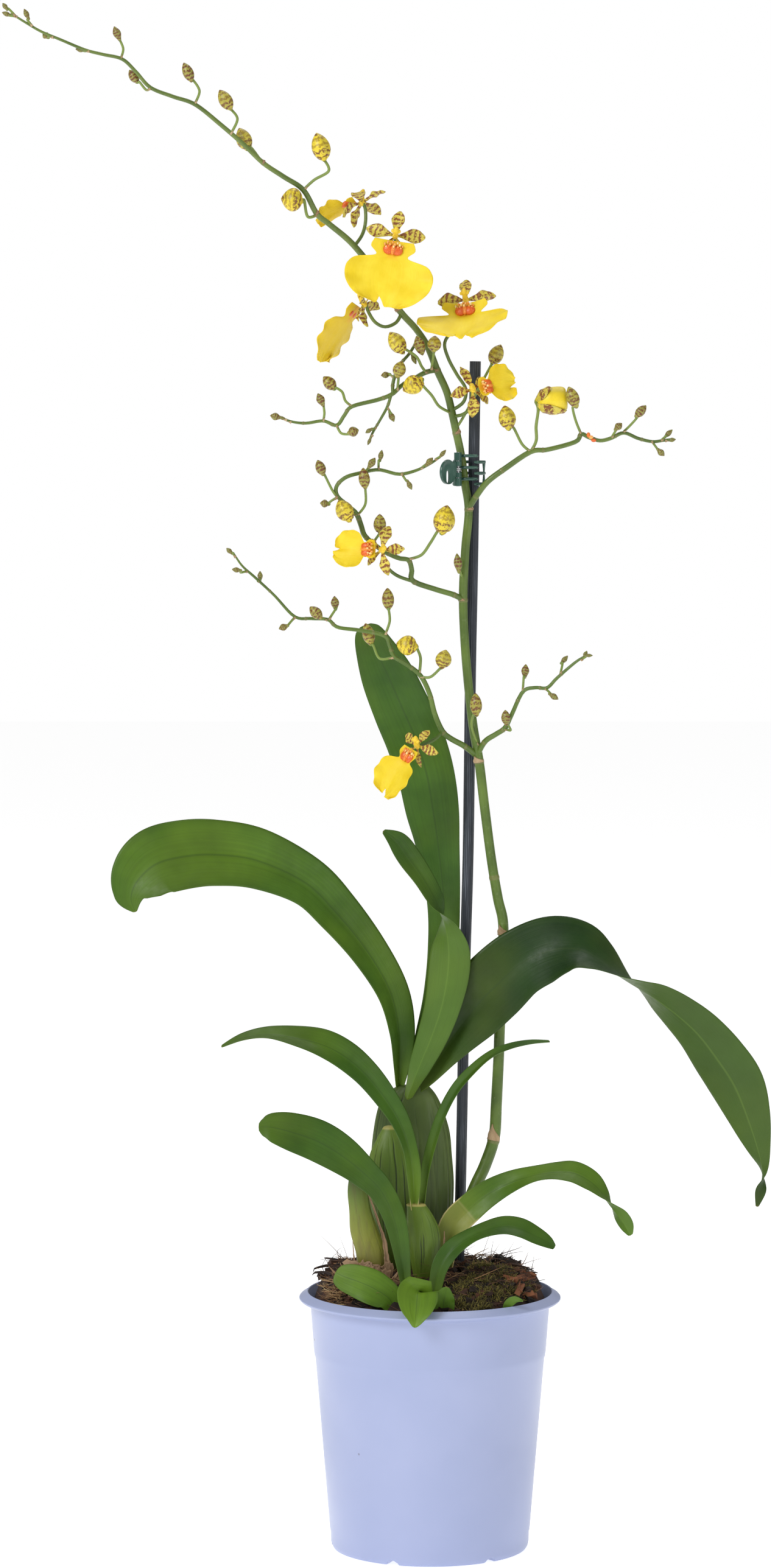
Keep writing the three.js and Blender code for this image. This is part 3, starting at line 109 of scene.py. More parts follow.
world = bpy.data.worlds.new("studio")
world.use_nodes = True
scene.world = world
world.node_tree.nodes.clear()
surround = wire(world.node_tree, "ShaderNodeBackground", {"Color": WHITE, "Strength": 0.36})
behind = wire(world.node_tree, "ShaderNodeBackground", {"Color": WHITE, "Strength": 1.0})
seen = wire(world.node_tree, "ShaderNodeLightPath").outputs["Is Camera Ray"]
mixed = wire(world.node_tree, "ShaderNodeMixShader", {0: seen, 1: surround.outputs[0], 2: behind.outputs[0]})
wire(world.node_tree, "ShaderNodeOutputWorld", {"Surface": mixed.outputs[0]})

floor_mesh = bpy.data.meshes.new("floor")
floor_mesh.from_pydata(SWEEP, [], [(0, 1, 2, 3)])
floor = bpy.data.objects.new("floor", floor_mesh)
scene.collection.objects.link(floor)
floor_material, tree = new_material("pale sweep")
finish_material(tree, Base_Color=(0.85, 0.85, 0.85, 1), Roughness=0.9, Emission_Color=WHITE,
                Emission_Strength=0.66)
floor_mesh.materials.append(floor_material)

# ---- The pot ----
# An injection-moulded grow pot in lavender blue plastic: a thin conical shell with a rounded foot, a step
# a quarter of the way down, a rolled-out rim, and small drain notches under its foot.

MM = 0.001
POT_OUTSIDE = [
    (36, 0.5), (40.5, 0), (43.3, 0), (44.5, 0.35), (45.2, 1.5), (45.5, 3), (45.6, 7.8), (45.95, 8.6),
    (49.3, 49), (52.6, 88.8), (53.05, 89.6), (53.3, 92), (54.8, 112), (55.4, 113.6), (57, 114.5),
    (59.3, 115), (60, 115.6), (60, 116.2), (59.4, 116.9), (57.6, 117.9), (56.7, 118.7), (56.3, 119),
    (55.9, 118.8)
]
POT_INSIDE = [(55.2, 116), (53.5, 112), (51.3, 89), (47.8, 46), (44.3, 6), (43.2, 4.6), (41, 4), (20, 4)]
POT_SIDES = 288
FOOT_FROM, FOOT_TOP = 40, 6  # the radius from which and the height up to which the foot is notched
NOTCHES, NOTCH_RADIUS, NOTCH_ANGLE, NOTCH_SINK = 6, 3.0, -112.6, 0.5


def unit(vectors):
    """Each vector divided by its own length."""
    vectors = np.asarray(vectors, float)
    return vectors / np.maximum(np.linalg.norm(vectors, axis=-1, keepdims=True), 1e-9)


def spline(rows, s):
    """Catmull-Rom through evenly spaced rows, at every s from 0 to 1: b plus half of f times
    (d - a + f (2a - 5b + 4d - e + f (3(b - d) + e - a))) between the rows a, b, d and e."""
    rows = np.asarray(rows, float)
    last = len(rows) - 1
    s = np.clip(np.asarray(s, float), 0, 1)
    i = np.minimum((s * last).astype(int), last - 1)
    f = (s * last - i)[..., None]
    a, b, d, e = (rows[np.clip(i + k, 0, last)] for k in (-1, 0, 1, 2))
    return b + 0.5 * f * (d - a + f * (2 * a - 5 * b + 4 * d - e + f * (3 * (b - d) + e - a)))


def circle(count):
    """So many angles, evenly round a circle."""
    return 2 * np.pi * np.arange(count) / count


def mark_grid(shape, along=0.0, across=0.0, third=0.0, fourth=0.0):
    """The four marks of a grid of points, each a number or an array that fits the grid's shape."""
    marks = (along, across, third, fourth)
    return np.stack([np.broadcast_to(np.asarray(mark, float), shape) for mark in marks], -1)


def turned(profile, sides):
    """Rings of a turned body: radius r and height z of each profile point carried round the z axis."""
    angle = circle(sides)
    r, z = (np.asarray(profile, float)[:, k, None] for k in (0, 1))
    return np.stack([r * np.cos(angle), r * np.sin(angle), z + 0 * angle], -1)


def loft(rings, *marks):
    """A closed skin over rings (n, sides, 3) that run anticlockwise about the way they follow, with a fan
    of triangles from the mean point of each end ring. The marks go with the points."""
    count, sides = rings.shape[:2]
    marks = mark_grid((count, sides), *marks)
    j = np.arange(sides)
    ahead = (j + 1) % sides
    base = np.arange(count - 1)[:, None] * sides
    walls = np.stack([base + j, base + ahead, base + sides + ahead, base + sides + j], -1).reshape(-1, 4)
    first, last = count * sides, count * sides + 1
    end = (count - 1) * sides
    none = np.full(sides, -1)
    low = np.stack([np.full(sides, first), ahead, j, none], -1)
    high = np.stack([np.full(sides, last), end + j, end + ahead, none], -1)
    points = np.concatenate([rings.reshape(-1, 3), rings[0].mean(0)[None], rings[-1].mean(0)[None]])
    values = np.concatenate([marks.reshape(-1, 4), marks[0].mean(0)[None], marks[-1].mean(0)[None]])
    return points, np.concatenate([walls, low, high]), values


def make_piece(name, patches, material, slot, *nodes, body="plant", crease=None):
    """One object from patches (points in mm, faces with -1 for a missing fourth corner, marks), which
    replaces the CAD nodes. The marks, four numbers a point, become the colour attribute "run" for the
    material to read. Edges sharper than the crease angle stay sharp."""
    sizes = np.cumsum([0] + [len(points) for points, _, _ in patches])
    points = np.concatenate([points for points, _, _ in patches]) * MM
    corners = np.concatenate([np.where(f < 0, -1, f + o) for (_, f, _), o in zip(patches, sizes)])
    totals = (corners >= 0).sum(1)
    mesh = bpy.data.meshes.new(name)
    mesh.vertices.add(len(points))
    mesh.vertices.foreach_set("co", points.ravel())
    mesh.loops.add(int(totals.sum()))
    mesh.loops.foreach_set("vertex_index", corners[corners >= 0])
    mesh.polygons.add(len(corners))
    mesh.polygons.foreach_set("loop_start", np.cumsum(totals) - totals)
    run = mesh.attributes.new("run", "FLOAT_COLOR", "POINT")
    run.data.foreach_set("color", np.concatenate([marks for _, _, marks in patches]).ravel())
    mesh.update(calc_edges=True)
    mesh.validate()
    mesh.polygons.foreach_set("use_smooth", np.ones(len(mesh.polygons), bool))
    if crease:
        mesh.set_sharp_from_angle(angle=math.radians(crease))
    mesh.materials.append(material)
    made = bpy.data.objects.new(name, mesh)
    scene.collection.objects.link(made)
    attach(made, body)
    if nodes:
        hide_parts(*nodes)


def srgb(*levels):
    """A colour from its screen values 0 to 255: ((c + 0.055) / 1.055) ** 2.4 above the toe."""
    return (*(((v / 255 + 0.055) / 1.055) ** 2.4 if v > 10 else v / 3295 for v in levels), 1.0)


def blend(tree, mask, low, high):
    """A colour that goes from low to high as the mask goes from 0 to 1, each a socket or screen values."""
    low, high = (end if isinstance(end, bpy.types.NodeSocket) else srgb(*end) for end in (low, high))
    return wire(tree, "ShaderNodeMix", {"Factor": mask, 6: low, 7: high}, data_type="RGBA").outputs[2]


def painted(tree, ground, *coats):
    """A ground colour with others laid over it in turn, each given as (mask, colour)."""
    for mask, colour in coats:
        ground = blend(tree, mask, ground, colour)
    return ground


def between(tree, value, low, high, start=0.0, end=1.0):
    """A value mapped from low..high to start..end, smoothly and without going past either end."""
    inputs = {"Value": value, "From Min": low, "From Max": high, "To Min": start, "To Max": end}
    return wire(tree, "ShaderNodeMapRange", inputs, interpolation_type="SMOOTHSTEP").outputs[0]


def work(tree, operation, first, second=0.0, third=0.0):
    """One step of arithmetic on the surface."""
    return wire(tree, "ShaderNodeMath", {0: first, 1: second, 2: third}, operation=operation).outputs[0]


def times(tree, first, second):
    """One value times another."""
    return work(tree, "MULTIPLY", first, second)


def raised(tree, height, strength, distance=0.0003):
    """Fine relief that only the light sees."""
    inputs = {"Height": height, "Strength": strength, "Distance": distance}
    return wire(tree, "ShaderNodeBump", inputs).outputs[0]


def object_place(tree):
    """Where a point of the surface is, in metres."""
    return wire(tree, "ShaderNodeTexCoord").outputs["Object"]


def noise(tree, place, scale, detail, **more):
    """Soft noise at a place on the surface."""
    inputs = {"Vector": place, "Scale": scale, "Detail": detail, **more}
    return wire(tree, "ShaderNodeTexNoise", inputs).outputs["Fac"]


def socket_group(name, inputs, *outputs):
    """A shader node group with named inputs, each of its default's kind, and value outputs. The sockets
    inside it that give the inputs and take the outputs come with it."""
    made = bpy.data.node_groups.new(name, "ShaderNodeTree")
    for label, value in inputs.items():
        kind = "NodeSocketFloat" if isinstance(value, float) else "NodeSocketVector"
        made.interface.new_socket(name=label, in_out="INPUT", socket_type=kind).default_value = value
    for label in outputs:
        made.interface.new_socket(name=label, in_out="OUTPUT", socket_type="NodeSocketFloat")
    return made, made.nodes.new("NodeGroupInput").outputs, made.nodes.new("NodeGroupOutput").inputs


# The unevenness of moulded or grown surfaces: a broad noise of Object coordinates, opened into a mask,
# and a finer one for the grain.
mottle, given, kept = socket_group("uneven coat", {"Scale": 60.0, "Stretch": (1, 1, 1)}, "Mask", "Fine")
stretched = wire(mottle, "ShaderNodeVectorMath", {0: object_place(mottle), 1: given["Stretch"]},
                 operation="MULTIPLY").outputs[0]
broad = noise(mottle, stretched, given["Scale"], 3.0)
finer = noise(mottle, stretched, times(mottle, given["Scale"], 7.0), 4.0, Roughness=0.6)
opened = wire(mottle, "ShaderNodeMapRange", {"Value": broad, "From Min": 0.3, "From Max": 0.7})
mottle.links.new(opened.outputs[0], kept["Mask"])
mottle.links.new(finer, kept["Fine"])


def uneven(tree, scale, stretch=(1, 1, 1)):
    """The uneven coat at a scale of its own: its broad mask and its fine grain."""
    made = wire(tree, "ShaderNodeGroup", {"Scale": scale, "Stretch": stretch}, node_tree=mottle)
    return made.outputs["Mask"], made.outputs["Fine"]


pot_plastic, tree = new_material("lavender pot plastic")
coat, grain = uneven(tree, 22.0)
specks = wire(tree, "ShaderNodeTexVoronoi", {"Vector": object_place(tree), "Scale": 95.0, "Randomness": 1.0})
chosen = wire(tree, "ShaderNodeSeparateColor", {"Color": specks.outputs["Color"]}).outputs[0]
fleck = times(tree, between(tree, specks.outputs["Distance"], 0.035, 0.075, 1, 0),
              between(tree, chosen, 0.93, 0.94))
plain = blend(tree, coat, (160, 169, 203), (153, 163, 198))
finish_material(tree, Base_Color=blend(tree, fleck, plain, (74, 62, 60)),
                Roughness=between(tree, coat, 0, 1, 0.3, 0.38), IOR=1.5, Normal=raised(tree, grain, 0.06))

rings = turned(POT_OUTSIDE + POT_INSIDE, POT_SIDES)
angles = np.arctan2(rings[..., 1], rings[..., 0])
reach = np.hypot(rings[..., 0], rings[..., 1])
step = 2 * np.pi / NOTCHES
turn = (angles - math.radians(NOTCH_ANGLE) + step / 2) % step - step / 2
arch = np.sqrt(np.maximum(0, NOTCH_RADIUS ** 2 - (reach * turn) ** 2)) - NOTCH_SINK
outer = np.arange(len(rings))[:, None] < len(POT_OUTSIDE)
notched = outer & (reach > FOOT_FROM) & (rings[..., 2] < FOOT_TOP)
rings[..., 2] = np.where(notched, np.maximum(rings[..., 2], arch), rings[..., 2])
make_piece("pot_shell", [loft(rings)], pot_plastic, "pot_plastic", "pot", crease=38)

# ---- The growing medium ----
# Coarse bark, coir and live moss packed round the roots and heaped above the rim, highest at the left and
# falling gently at the front: a dark crumbly mound, with chips, curled fibres and moss lying on it.

MOUND_REACH, MOUND_EDGE, MOUND_RISE, MOUND_SIDES, MOUND_SETTLED = 54.0, 113.0, 17.0, 220, -0.6
MOUND_RINGS = np.concatenate([[2.0, 5, 8], np.linspace(11, 52, 60), [53.2]])
MOUND_WALL = [(20, 4.4), (41, 4.4), (42.7, 6), (49.6, 89), (51.8, 108), (52.6, 112)]
POT_WALL, LITTER_REACH = 53, 50  # where fibres meet the pot's wall, and how far out they start
# How many there are: chips and slivers of bark, fibres that lie or stand, roots, matted fibres, tufts.
CHIPS, SLIVERS, LYING, STANDING, ROOTS, MAT, MOSS = 420, 16, 1400, 36, 90, 420, 5400
MOSS_CLUMPS = [
    (14, -32), (22, -38), (30, -34), (36, -26), (26, -26), (18, -24), (30, -16), (22, -12), (38, -14),
    (14, -42), (44, -20), (34, -4), (30, -12), (24, -46)
]


def smooth_noise(x, y, seed):
    """Value noise: a seeded random height at each whole x and y, blended between the four corners of a
    cell by f * f * (3 - 2 f)."""
    table = np.random.default_rng(seed).random((64, 64))
    i, j = np.floor(x).astype(int), np.floor(y).astype(int)
    f, g = x - i, y - j
    f, g = f * f * (3 - 2 * f), g * g * (3 - 2 * g)
    corner = [[table[(i + a) % 64, (j + b) % 64] for b in (0, 1)] for a in (0, 1)]
    low = corner[0][0] * (1 - g) + corner[0][1] * g
    high = corner[1][0] * (1 - g) + corner[1][1] * g
    return low * (1 - f) + high * f


def mound_height(x, y):
    """The heap's height: edge + (rise + lumps + shoulder) * (1 - (r / reach) ** steepness), gentler
    towards the front, with a shoulder of 7 (r / reach) ** 4 on the left."""
    radius, angle = np.hypot(x, y), np.arctan2(y, x)
    front = np.maximum(0, -np.sin(angle)) ** 2
    slope = 1 - (np.minimum(radius, MOUND_REACH) / MOUND_REACH) ** (8 - 5.4 * front)
    lumps = 0.9 * np.sin(5 * angle + radius / 7) + 0.7 * np.cos(3 * angle - radius / 5)
    shoulder = 7 * np.maximum(0, -np.cos(angle)) ** 6 * (radius / MOUND_REACH) ** 4
    return MOUND_EDGE + (MOUND_RISE + lumps + shoulder) * slope


def crumb(x, y):
    """The crumbly relief on the heap: three sizes of value noise, in mm."""
    return (2.6 * smooth_noise(x / 6 + 9, y / 6 + 3, 1) + 1.6 * smooth_noise(x / 2.4 + 5, y / 2.4, 2)
            + 0.8 * smooth_noise(x / 1.1, y / 1.1 + 7, 3) - 2.4)


def on_heap(x, y, *lifts):
    """Points (x, y, z) on the smooth heap, raised by the lifts one after another."""
    height = mound_height(x, y)
    for lift in lifts:
        height = height + lift
    return np.stack([x, y, height], -1)


def at_angle(radius, angle):
    """x and y of points at a radius and an angle round the pot's axis."""
    return radius * np.cos(angle), radius * np.sin(angle)


def framed(directions, reference):
    """Two unit vectors across each direction, the first as near to the reference as it can be."""
    side = unit(reference - directions * (reference * directions).sum(-1, keepdims=True))
    return side, np.cross(directions, side)


def ringed(path, side, other, angle, wide):
    """A ring of points round each point of a path: path + wide * (cos a * side + sin a * other)."""
    round_about = np.cos(angle)[:, None] * side[..., None, :] + np.sin(angle)[:, None] * other[..., None, :]
    return path[..., None, :] + wide * round_about


def strands(starts, ways, lengths, curls, radii, tones, steps=6, sides=3):
    """Many thin curved fibres at once: the path start + way * L t + curl * L t * t, a ring of points
    round each step, drawn in to a quarter at its far end, all in one patch. What would stand out past the
    pot's wall is pressed back to 0.15 of it."""
    t = np.linspace(0, 1, steps + 1)[None, :, None]
    reach = lengths[:, None, None]
    paths = starts[:, None] + ways[:, None] * reach * t + curls[:, None] * reach * t * t
    out = np.hypot(paths[..., 0], paths[..., 1])[..., None]
    paths[..., :2] *= np.minimum(1, (POT_WALL + 0.15 * np.maximum(0, out - POT_WALL)) / np.maximum(out, 1e-6))
    along = unit(ways[:, None] + 2 * curls[:, None] * t)
    side, other = framed(along, np.array([0.31, 0.2, 0.93]))
    width = (radii[:, None] * (1 - 0.75 * t[..., 0] ** 2))[..., None, None]
    rings = ringed(paths, side, other, circle(sides), width)
    count = len(starts)
    j = np.arange(sides)
    ahead = (j + 1) % sides
    base = (np.arange(count)[:, None] * (steps + 1) + np.arange(steps)[None]).reshape(-1, 1) * sides
    walls = np.stack([base + j, base + ahead, base + sides + ahead, base + sides + j], -1).reshape(-1, 4)
    foot = (np.arange(count) * (steps + 1) * sides)[:, None]
    tip = foot + steps * sides
    none = np.full((count, 1), -1)
    feet = np.concatenate([foot + [2, 1, 0], none], 1)
    tips = np.concatenate([tip + [0, 1, 2], none], 1)
    marks = mark_grid(rings.shape[:3], t, 0, 0, tones[:, None, None])
    return rings.reshape(-1, 3), np.concatenate([walls, feet, tips]), marks.reshape(-1, 4)


def chips(centres, sizes, spins, tones, rough):
    """Many bark chips at once: a box of eight corners each, every corner pushed by its own share of
    noise, turned by its spin (three angles)."""
    count = len(centres)
    box = np.array([(x, y, z) for z in (-1, 1) for y in (-1, 1) for x in (-1, 1)], float)
    corner = box[None] * (0.5 + rough * 0.5)
    local = corner * sizes[:, None]
    (a, b, c), zero, one = spins.T, np.zeros(count), np.ones(count)
    about_z = np.array([[np.cos(a), -np.sin(a), zero], [np.sin(a), np.cos(a), zero], [zero, zero, one]])
    about_x = np.array([[one, zero, zero], [zero, np.cos(b), -np.sin(b)], [zero, np.sin(b), np.cos(b)]])
    about_y = np.array([[np.cos(c), zero, np.sin(c)], [zero, one, zero], [-np.sin(c), zero, np.cos(c)]])
    turn = np.einsum("ijn,jkn,kln->nil", about_z, about_x, about_y)
    points = centres[:, None] + np.einsum("nij,nkj->nki", turn, local)
    sides = np.array([(0, 2, 3, 1), (4, 5, 7, 6), (0, 1, 5, 4), (2, 6, 7, 3), (0, 4, 6, 2), (1, 3, 7, 5)])
    faces = (sides[None] + 8 * np.arange(count)[:, None, None]).reshape(-1, 4)
    marks = mark_grid((count, 8), corner[0, :, 0] * 0.5 + 0.5, 0, 0, tones[:, None])
    return points.reshape(-1, 3), faces, marks.reshape(-1, 4)


def run_marks(tree):
    """The four marks of a piece's points, as along, across, third and fourth."""
    read = wire(tree, "ShaderNodeAttribute", attribute_name="run")
    parts = wire(tree, "ShaderNodeSeparateXYZ", {0: read.outputs["Vector"]})
    return parts.outputs[0], parts.outputs[1], parts.outputs[2], read.outputs["Alpha"]


def ramp(tree, value, *stops):
    """A colour ramp, each stop given as (position, red, green, blue)."""
    made = wire(tree, "ShaderNodeValToRGB", {"Fac": value})
    band = made.color_ramp
    while len(band.elements) < len(stops):
        band.elements.new(0.5)
    for element, (position, *levels) in zip(band.elements, stops):
        element.position = position
        element.color = srgb(*levels)
    return made.outputs["Color"]


def litter_material(name, roughness, *stops):
    """Bark, fibre or moss: a ramp of its own colours by each scrap's tone, shifted by fine noise."""
    made, tree = new_material(name)
    tone = run_marks(tree)[3]
    grain = uneven(tree, 180.0)[1]
    mixed = work(tree, "ADD", times(tree, work(tree, "SUBTRACT", grain, 0.5), 0.5), tone)
    finish_material(tree, Base_Color=ramp(tree, mixed, *stops), Roughness=roughness,
                    Normal=raised(tree, grain, 0.6, 0.0005))
    return made


bark = litter_material(
    "damp bark", 0.85, (0.0, 14, 9, 6), (0.35, 36, 23, 15), (0.7, 72, 42, 26), (1.0, 128, 78, 48))
coir = litter_material(
    "coir fibre", 0.7, (0.0, 38, 22, 14), (0.4, 88, 54, 34), (0.75, 150, 112, 74), (1.0, 206, 178, 128))
moss = litter_material("moss", 0.8, (0.0, 34, 30, 12), (0.5, 94, 86, 34), (1.0, 150, 138, 66))

x, y = at_angle(MOUND_RINGS[:, None], circle(MOUND_SIDES))
inward = np.clip((53.4 - MOUND_RINGS[:, None]) / 5, 0, 1)  # the crumb dies out towards the wall
top = on_heap(x, y, inward * crumb(x, y), MOUND_SETTLED)[::-1]
rings = np.concatenate([turned(MOUND_WALL, MOUND_SIDES), top])
tones = 0.28 + 0.5 * smooth_noise(rings[..., 0] / 3 + 40, rings[..., 1] / 3 + 11, 5)
make_piece("packed_bark_mound", [loft(rings, 0, 0, 0, tones - 0.1)], bark, "bark_and_moss", "growing_medium")

rng = np.random.default_rng(20)


def scattered(count, low=6.0, high=51.5):
    """Random places on the heap, evenly by area between two radii: (x, y, z on its surface)."""
    radius, angle = np.sqrt(rng.uniform(low ** 2, high ** 2, count)), rng.uniform(-np.pi, np.pi, count)
    x, y = at_angle(radius, angle)
    return on_heap(x, y, crumb(x, y), MOUND_SETTLED)


def headings(count, rise_low, rise_high):
    """Random level directions tipped up by a rise between two values."""
    x, y = at_angle(1, rng.uniform(-np.pi, np.pi, count))
    return unit(np.stack([x, y, rng.uniform(rise_low, rise_high, count)], -1))


def bends(count, most, upward=1.0):
    """Random curls, as strong as the most to each side, with a share of that upward or down."""
    return rng.uniform(-most, most, (count, 3)) * (1, 1, upward)


def keep_in_pot(starts):
    """Start points whose fibres stay inside the rim, drawn in where they lie further out."""
    radius = np.hypot(starts[:, 0], starts[:, 1])
    starts[:, :2] *= np.minimum(1, LITTER_REACH / radius)[:, None]
    return starts


sizes = rng.uniform((1.2, 1.0, 0.7), (5.6, 2.8, 1.9), (CHIPS, 3))
spins = rng.uniform((-3.1, -0.5, -0.5), (3.1, 0.5, 0.5), (CHIPS, 3))
lying = chips(scattered(CHIPS, 6, 49), sizes, spins, rng.uniform(0.0, 0.75, CHIPS),
              0.9 * rng.random((CHIPS, 8, 3)))
spots = on_heap(rng.uniform(36, 45, SLIVERS), rng.uniform(-26, 2, SLIVERS), rng.uniform(0, 2.2, SLIVERS))
sizes = rng.uniform((3.0, 1.2, 0.6), (7.0, 2.2, 1.2), (SLIVERS, 3))
spins = rng.uniform((-3.1, -1.1, -0.5), (3.1, 1.1, 0.5), (SLIVERS, 3))
split_off = chips(spots, sizes, spins, rng.uniform(0.7, 1.1, SLIVERS), 0.9 * rng.random((SLIVERS, 8, 3)))
make_piece("bark_chips", [lying, split_off], bark, "bark_and_moss", crease=30)

# Fibres that lie, short under the blade at the front, then some that stand up, short curled roots at the
# two shoulders, and a mat of pale fibres at the front left.
starts = scattered(LYING)
starts[:, 2] += rng.uniform(0, 1.6, LYING)
outward = np.hypot(starts[:, 0], starts[:, 1]) / LITTER_REACH
inward = unit(-starts * (1, 1, 0)) * np.clip(outward, 0, 1)[:, None] ** 3
under_blade = (starts[:, 1] < -32) & (starts[:, 0] < 14)
starts[:, 2] -= 2.5 * under_blade
ways = unit(headings(LYING, -0.1, 0.35) + 0.9 * inward)
lengths = rng.uniform(3, 10, LYING) * np.where(under_blade, 0.5, 1)
flat = strands(keep_in_pot(starts), ways, lengths, bends(LYING, 1.1, 0.3),
               rng.uniform(0.12, 0.34, LYING) ** 1.1, rng.uniform(0.0, 0.85, LYING))
to_right = rng.random(STANDING) < 0.62
angle = np.where(to_right, rng.normal(0.05, 0.55, STANDING), rng.normal(3.0, 0.35, STANDING))
starts = on_heap(*at_angle(rng.uniform(26, 50, STANDING), angle))
upright = strands(starts, headings(STANDING, 0.3, 1.6), rng.uniform(3, 9, STANDING), bends(STANDING, 1.6),
                  rng.uniform(0.1, 0.24, STANDING), rng.uniform(0.0, 0.5, STANDING))
to_right = rng.random(ROOTS) < 0.4
angle = np.where(to_right, rng.normal(0.0, 0.5, ROOTS), rng.normal(3.1, 0.5, ROOTS))
starts = on_heap(*at_angle(rng.uniform(30, 50, ROOTS), angle), -0.5)
hanging = bends(ROOTS, 1.8, 0.25) - (0, 0, 0.75)
roots = strands(starts, headings(ROOTS, 0.5, 1.2), rng.uniform(3, 7.5, ROOTS), hanging,
                rng.uniform(0.35, 0.8, ROOTS), rng.uniform(-0.35, 0.15, ROOTS), steps=14, sides=6)
spot = np.array((-43, -27)) + rng.normal(0, 1, (MAT, 2)) * (5, 4)
starts = on_heap(spot[:, 0], spot[:, 1], rng.uniform(0.2, 2.2, MAT))
matted = strands(keep_in_pot(starts), headings(MAT, -0.12, 0.2), rng.uniform(4, 15, MAT),
                 bends(MAT, 0.4, 0.4), rng.uniform(0.1, 0.2, MAT), rng.uniform(0.6, 1.0, MAT))
make_piece("coir_fibres", [flat, upright, roots, matted], coir, "bark_and_moss")

clump = rng.integers(0, len(MOSS_CLUMPS), MOSS)
spread = rng.normal(0, 1, (MOSS, 2)) * rng.uniform(1.4, 3.6, len(MOSS_CLUMPS))[clump][:, None]
spot = keep_in_pot(np.array(MOSS_CLUMPS, float)[clump] + spread)
starts = on_heap(spot[:, 0], spot[:, 1], crumb(spot[:, 0], spot[:, 1]), -0.4)
tufts = strands(starts, headings(MOSS, 0.2, 2.0), rng.uniform(0.8, 2.6, MOSS), bends(MOSS, 0.6),
                rng.uniform(0.15, 0.3, MOSS), rng.uniform(0.0, 0.9, MOSS), steps=3)
make_piece("moss_tufts", [tufts], moss, "bark_and_moss")

# ---- The rod ----
# A dark plastic plant stick, drawn as one length with fine ribs along it, pushed through the bark to the
# lower part of the pot and leaning a little.

ROD = [
    (11.5, 12.5, 40), (13.5, 12.5, 134), (14.5, 12.5, 179), (16, 12.5, 264), (17.5, 12, 320),
    (18.5, 12, 404), (19.5, 12, 459.5), (20, 12, 506.5), (20.5, 12, 544.5)
]
ROD_RADIUS, ROD_RIBS, RIB_DEPTH = 2.5, 18, 0.02
ACROSS_CHOICES = [
    (0.3, 1, 0.2), (1, 0.2, 0.1), (0.1, 0.3, 1), (1, 1, -0.3), (-0.4, 1, 1), (1, -0.3, 1), (0.7, -1, 0.2)
]


def path_frames(path):
    """Tangents of a path (n, 3), and two unit vectors across it, turned from a reference that no part of
    the path runs along."""
    tangents = unit(np.gradient(path, axis=0))
    choices = unit(ACROSS_CHOICES)
    reference = choices[np.argmin(np.abs(choices @ tangents.T).max(1))]
    return tangents, *framed(tangents, reference)


def tube(rows, sides, steps, third=0, fourth=0, ribs=0, rib_depth=0.0):
    """A round body along Catmull-Rom rows of (x, y, z, radius): the point at angle a is
    path + radius * (1 + depth * cos(ribs a)) * (cos a * side + sin a * other)."""
    s = np.linspace(0, 1, steps + 1)
    found = spline(rows, s)
    path, radius = found[:, :3], found[:, 3][:, None]
    _, side, other = path_frames(path)
    angle = circle(sides)
    wide = (radius * (1 + rib_depth * np.cos(ribs * angle)))[..., None]
    rings = ringed(path, side, other, angle, wide)
    return loft(rings, s[:, None], np.cos(ribs * angle)[None] * (ribs > 0), third, fourth)


def grained(tree, grain, low, high):
    """Roughness that goes from low to high with the fine grain."""
    return between(tree, grain, 0.3, 0.7, low, high)


rod_plastic, tree = new_material("ribbed dark rod")
rib = run_marks(tree)[1]
wear_and_highlight, grain = uneven(tree, 260.0, (1, 1, 0.12))
# Lengthwise light streaks on the rib crests, partly scuffs and dust on the plastic and partly painted
# highlight.
scuff_and_highlight = times(tree, between(tree, rib, 0.2, 1), between(tree, wear_and_highlight, 0.45, 0.9))
finish_material(tree, Base_Color=blend(tree, scuff_and_highlight, (34, 40, 49), (104, 112, 122)),
                Roughness=grained(tree, grain, 0.34, 0.55), Normal=raised(tree, grain, 0.3))
shaft = tube([(*row, ROD_RADIUS) for row in ROD], 144, 40, ribs=ROD_RIBS, rib_depth=RIB_DEPTH)
make_piece("ribbed_rod", [shaft], rod_plastic, "rod", "stake", crease=50)

# ---- The clip ----
# A small dark green orchid clip, injection moulded in two jaws that swing on a steel pin against a spring.
# Their rounded fingers pass between each other round the stem and the rod, and two slotted thumb pads
# stand out on the other side of the pin.

HINGE, LOOP_CENTRE, LOOP_INNER = (12.5, 2.5), (17.7, 10.3), (6.2, 5.5)
CLIP_BOTTOM, CLIP_TOP, FINGER = 487.8, 503.3, 0.72
PAD_RADIUS, PAD_REACH, PAD_HEIGHT, FRONT_PAD, BACK_PAD = 5.6, 7.75, 494.4, 233, 98
# A pad's section from its slot to its rim: (share of the way, half thickness).
PAD_SECTION = [
    (0, 0.3), (0.05, 0.42), (0.2, 0.45), (0.45, 0.42), (0.7, 0.44), (0.86, 0.6), (0.95, 0.64), (1.0, 0.3)
]
FRONT_LEVELS, BACK_LEVELS = (501.6, 496.3, 491.1), (498.7, 493.6, 488.7)
PIN_RADIUS, KNUCKLE_RADIUS, SPRING_RADIUS, WIRE_RADIUS = 0.8, 1.75, 1.4, 0.3
SPRING_FOOT, SPRING_HEIGHT, SPRING_TURNS, SPRING_STEPS = 494.65, 1.7, 2.5, 81


